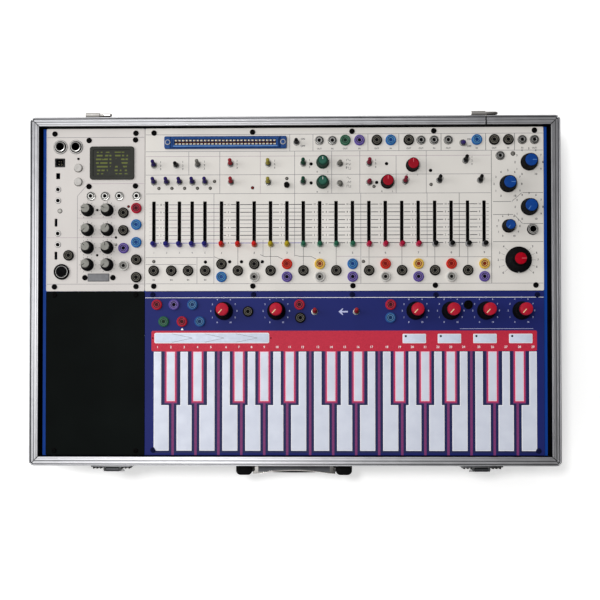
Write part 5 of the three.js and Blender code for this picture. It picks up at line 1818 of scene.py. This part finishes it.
def keyboard_sockets():
    shape = Shape()
    patch_sockets(shape, "keyboard", KEYBOARD_PATCH)
    small_socket(shape, *spot("keyboard", 0.811, 0.915), "screw_black")
    screws(shape, "keyboard", KEYBOARD_SCREWS, "screw_navy")
    for across in LEVER_SHARES:
        toggle_base(shape, *spot("keyboard", across, LEVER_ROW))
    return shape


def keyboard_knob(name):
    """A tall knob: black skirt and fluted barrel under a red cap with a pale line."""
    body = [
        (9.4, 0, 0), (9.9, 0.4, 0), (9.9, 1.6, 0), (9.5, 2.3, 0), (8.6, 6.6, 0.2), (8.0, 8.4, 0.6),
        (7.2, 9.0, 1), (7.0, 16.5, 1), (6.8, 17.6, 0.5), (6.5, 17.8, 0), (0.3, 17.8, 0),
    ]
    cap = [(6.4, 17.7), (6.75, 18.2), (6.7, 22.8), (6.4, 23.6), (5.8, 23.85), (0.3, 23.85)]
    line = (23.75, 0.4, 5.9, 1.0, 0.3)
    looks = ("knob_black", "knob_brick", "mark_cream")
    at = (*middle(name), PANEL_TOP + KNOB_GAP)
    return capped(Shape(), at, (body, 28, 0.45), (cap, 56), line, looks, 222)


def small_lever(name):
    """A moving lever with its red sleeve, leaning back at rest, from the ball in its bush."""
    shape = Shape()
    joint = (middle(name)[0], spot("keyboard", 0, LEVER_ROW)[1], PANEL_TOP + 2)
    ball = [(0.3, -1.75), (1.2, -1.4), (1.75, -0.5), (1.75, 0.5), (1.2, 1.4), (1.0, 1.6)]
    shape.add(turned(ball, 20), "nickel", joint)
    toggle_lever(shape, "lever_red", joint, (-TILT, 0, 0), far=9.4)
    return shape


knob_holes = [hole(*spot("keyboard", share, KNOB_ROW), 4.2) for share in KNOB_SHARES]
piece("keyboard_sheet", sheet("keyboard", "night_paint", knob_holes), "night_panel", "keyboard_panel")
piece("keyboard_marks", keyboard_print(), "night_panel")
piece("keyboard_keys", keyboard_keys(), "light_panel")
piece("touch_strip", touch_strip(), "light_panel")
piece("keyboard_sockets", keyboard_sockets(), "black_plastic")
for i in range(1, 7):
    name = f"keyboard_knob_{i}"
    moving(name, "_tall", keyboard_knob(name), "knob_red")
for name in ("toggle_switch_1", "toggle_switch_2"):
    moving(name, "_lever", small_lever(name), "knob_red")


# Program and blank panels
PROGRAM_PATCH = [
    (0.784, 0.481, "k"), (0.914, 0.509, "c"), (0.784, 0.373, "k"), (0.914, 0.408, "b"),
    (0.786, 0.264, "v"), (0.914, 0.2995, "b"), (0.786, 0.1575, "w"), (0.914, 0.1935, "k"),
    (0.914, 0.086, "k"), (0.231, 0.2205, "k"),
]
PROGRAM_KNOBS = [
    (0.421, 0.498, 275), (0.62, 0.498, 300), (0.421, 0.377, 225), (0.62, 0.377, 30),
    (0.421, 0.268, 315), (0.62, 0.268, 0), (0.421, 0.163, 240), (0.62, 0.163, 225),
]
PROGRAM_SCREWS = [
    (0.087, 0.9675), (0.9072, 0.9699), (0.087, 0.0284), (0.9111, 0.0296), (0.4333, 0.9266),
    (0.9033, 0.9289), (0.4333, 0.6436), (0.9033, 0.6459), (0.3949, 0.0844), (0.6775, 0.0844),
]
PROGRAM_SLOTS = [
    ((0.1207, 0.7087), 4.3, 6.5), ((0.1007, 0.4228), 2.9, 8.6), ((0.1007, 0.2201), 2.9, 8.6),
]


def program_sheet():
    holes = [hole(*spot("program", *shares), 5.7) for shares in JACKS]
    holes += [hole(*middle(name), 4.5) for name in PUSH_BUTTONS]
    holes.append(rounded(11.2, 9.6, 0.4, 2, *middle("usb_socket")))
    for place_at, width, length in PROGRAM_SLOTS:
        holes.append(rounded(width, length, 0.6, 3, *spot("program", *place_at)))
    return sheet("program", "program_paint", holes)


ROUND_CONNECTOR = (
    (turned, "deep_black", 48,
     [(8.5, 0), (8.5, 1.5), (8.0, 2.1), (7.2, 2.2), (6.7, 2.0), (6.5, 1.2), (6.4, 1.05), (4.0, 1.05),
      (0.3, 1.05)]),
    (hollow_ring, "toggle_metal", 44, square_ring(6.5, 6.1, 1.0, 1.5)),
)


def program_sockets():
    shape = Shape()
    patch_sockets(shape, "program", PROGRAM_PATCH)
    for up in (0.6255, 0.5575, 0.355, 0.287):
        spin(shape, (*spot("program", 0.12, up), PANEL_TOP), PIN_PARTS)
    for across in (0.453, 0.596, 0.7395, 0.915):
        small_socket(shape, *spot("program", across, 0.584))
    x, y = spot("program", 0.16, 0.12)
    spin(shape, (x, y, PANEL_TOP), ROUND_CONNECTOR)
    for degrees in range(200, 341, 35):
        a = math.radians(degrees)
        pin = (x + math.cos(a) * 4.2, y + math.sin(a) * 4.2, PANEL_TOP + 1.0)
        shape.add(disc(0.7, 0, 0.5, 0.15, 14), "screw_black", pin)
    return shape


PROGRAM_BODY = [
    (6.5, 0, 0), (6.9, 0.4, 0), (6.9, 2.6, 0), (6.5, 3.3, 0), (5.6, 3.6, 0.4), (5.4, 4.6, 1), (4.9, 11.4, 1),
    (4.8, 12.2, 0.4), (4.6, 12.4, 0), (0.3, 12.4, 0),
]
PROGRAM_CAP = [(4.4, 12.3), (4.6, 12.6), (4.6, 13.0), (4.3, 13.35), (0.3, 13.4)]
PROGRAM_LINE = (13.25, 0.6, 4.3, 0.6, 0.24)


def program_knobs():
    shape = Shape()
    body, cap, looks = (PROGRAM_BODY, 20, 0.4), (PROGRAM_CAP, 44), ("knob_black", "knob_gray", "screw_black")
    for across, up, angle in PROGRAM_KNOBS:
        at = (*spot("program", across, up), PANEL_TOP)
        capped(shape, at, body, cap, PROGRAM_LINE, looks, angle)
    return shape


PROGRAM_LAMPS = [
    (0.5188, 0.4986, "deep_black", 1.0), (0.5188, 0.2215, "deep_black", 1.0),
    (0.7085, 0.3306, "deep_black", 1.0), (0.7085, 0.2857, "lamp_clear", 1.0),
    (0.8339, 0.5197, "lamp_red", 1.2), (0.8339, 0.368, "lamp_clear", 0.9),
    (0.3263, 0.8135, "deep_black", 1.0), (0.1402, 0.4939, "lamp_clear", 2.2),
]
PROGRAM_RULES = [
    ("ink_gray", 0.01, 0.945, 0.99, 0.945), ("ink_mauve", 0.4, 0.661, 0.99, 0.661),
    ("ink_gray", 0.3165, 0.05, 0.3165, 0.585), ("ink_gray", 0.3165, 0.585, 0.41, 0.65),
    ("ink_mauve", 0.01, 0.33, 0.70, 0.33), ("ink_mauve", 0.3165, 0.45, 0.70, 0.45),
    ("ink_gray", 0.01, 0.045, 0.99, 0.045),
]


def program_fittings():
    shape = Shape()
    screws(shape, "program", PROGRAM_SCREWS)
    for across, up, look, radius in PROGRAM_LAMPS:
        lamp(shape, *spot("program", across, up), look, radius)
    x0, y0 = spot("program", 0.4236, 0.061)
    x1, y1 = spot("program", 0.6404, 0.1092)
    for grow, look, top in ((0, "tag_edge", 0.7), (0.9, "tag_gray", 0.8)):
        tag = slab(x1 - x0 - grow, y1 - y0 - grow, 0, top, 0.5, 0.2)
        shape.add(tag, look, ((x0 + x1) / 2, (y0 + y1) / 2, PANEL_TOP))
    # A darker ring round each button: painted shadow at its edge
    for name in PUSH_BUTTONS:
        shade_ring = hollow_ring(square_ring(4.75, 4.4, 0, 0.3))
        shape.add(shade_ring, "lamp_gray", (*middle(name), PANEL_TOP))
    return shape


def program_print():
    shape = Shape()
    for look, x0, y0, x1, y1 in PROGRAM_RULES:
        shape.line(*spot("program", x0, y0), *spot("program", x1, y1), LEAD_RULE, look)
    for across, up, _ in PROGRAM_KNOBS:
        scale_ring(shape, *spot("program", across, up), 8.0, "ink_dark", numbers=False)
    return shape


piece("program_sheet", program_sheet(), "light_panel", "program_panel")
piece("program_sockets", program_sockets(), "black_plastic")
piece("program_knobs", program_knobs(), "black_plastic")
piece("program_fittings", program_fittings(), "black_plastic")
piece("program_marks", program_print(), "light_panel")
BLANK_SCREWS = ((0.91, 0.9784), (0.087, 0.9784), (0.087, 0.0284), (0.91, 0.0284))
blank = sheet("blank", "dark_paint")
screws(blank, "blank", BLANK_SCREWS)
piece("blank_sheet", blank, "dark_panel", "blank_panel")


# Kept nodes
def dress(node, look, slot_name):
    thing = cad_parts[node]
    thing.data.materials.clear()
    thing.data.materials.append(FINISHES[look])


KEPT = (
    ("chassis", "blue_paint", "blue_metal"), ("voice_board", "circuit_board", "board_green"),
    ("power_supply", "supply_sheet", "supply_metal"),
)
for kept in KEPT:
    dress(*kept)


# Camera, floor and light
CAMERA_PLACE = (0.005, -0.1068, 1.086)
CAMERA_TURN = (0.01548, 0.01739, 0)


def camera():
    lens = bpy.data.cameras.new("camera")
    lens.sensor_width = 36
    lens.lens = 55.49
    lens.shift_x = 0.02927
    lens.shift_y = 0.13062
    lens.clip_start, lens.clip_end = 0.05, 50
    made = bpy.data.objects.new("camera", lens)
    made.location = CAMERA_PLACE
    made.rotation_euler = CAMERA_TURN
    bpy.context.scene.collection.objects.link(made)
    bpy.context.scene.camera = made


# Name and place, size in metres, and power in watts
LIGHTS = (("key_light", (-0.31, 0.1, 1.75), 0.24, 10.5), ("side_light", (-1.1, 0.25, 0.8), 0.7, 5))
AIM = Vector((0, 0, 0.05))


def lamp_over(name, at, size, power):
    """A round lamp that looks at the middle of the case."""
    light = bpy.data.lights.new(name, "AREA")
    light.shape = "DISK"
    light.size = size
    light.energy = power
    made = bpy.data.objects.new(name, light)
    made.location = at
    made.rotation_euler = (AIM - Vector(at)).to_track_quat("-Z", "Y").to_euler()
    bpy.context.scene.collection.objects.link(made)


def floor():
    """White paper under the case, lit up for the camera and in reflections only."""
    made = finish("floor_paper", Metallic=0.0)
    paper = made.noise(40, 3)
    made.feed(Base_Color=made.mix(paper, tint("#F4F4F3"), tint("#F8F8F8")), Roughness=0.9)
    shown = made.node("LightPath") + made.node("LightPath", out=3) + made.node("LightPath", out=6)
    made.feed(Emission_Color=made.mix(shown, [0, 0, 0, 1], [1, 1, 1, 1]), Emission_Strength=0.45)
    made.bump(paper, 0.05, 0.1)
    shape = Shape()
    shape.add(slab(9000, 9000, -4, 0, 10, 1), "floor_paper")
    shape.built("floor")


def sky():
    """A studio that is dimmer on its right, low down and in front, and white to the camera."""
    made = Sky("studio")
    toward = made.node("TexCoord")
    rightward, rearward, upward = [made.node("SeparateXYZ", None, {0: toward}, out=i) for i in range(3)]
    glow = made.ramp(rightward, -0.1, 0.32, 0.9, 0.12) * made.ramp(upward, 0.1, 0.9, 0.5, 1.0)
    glow = glow * made.ramp(rearward, -0.35, 0.25, 0.75, 1.15)
    seen = made.node("LightPath")
    made.feed(Color=(1, 1, 1, 1), Strength=glow * (1 - seen) + seen)
    bpy.context.scene.world = made.world


camera()
floor()
sky()
for light in LIGHTS:
    lamp_over(*light)
bpy.context.scene.view_settings.view_transform = "Standard"
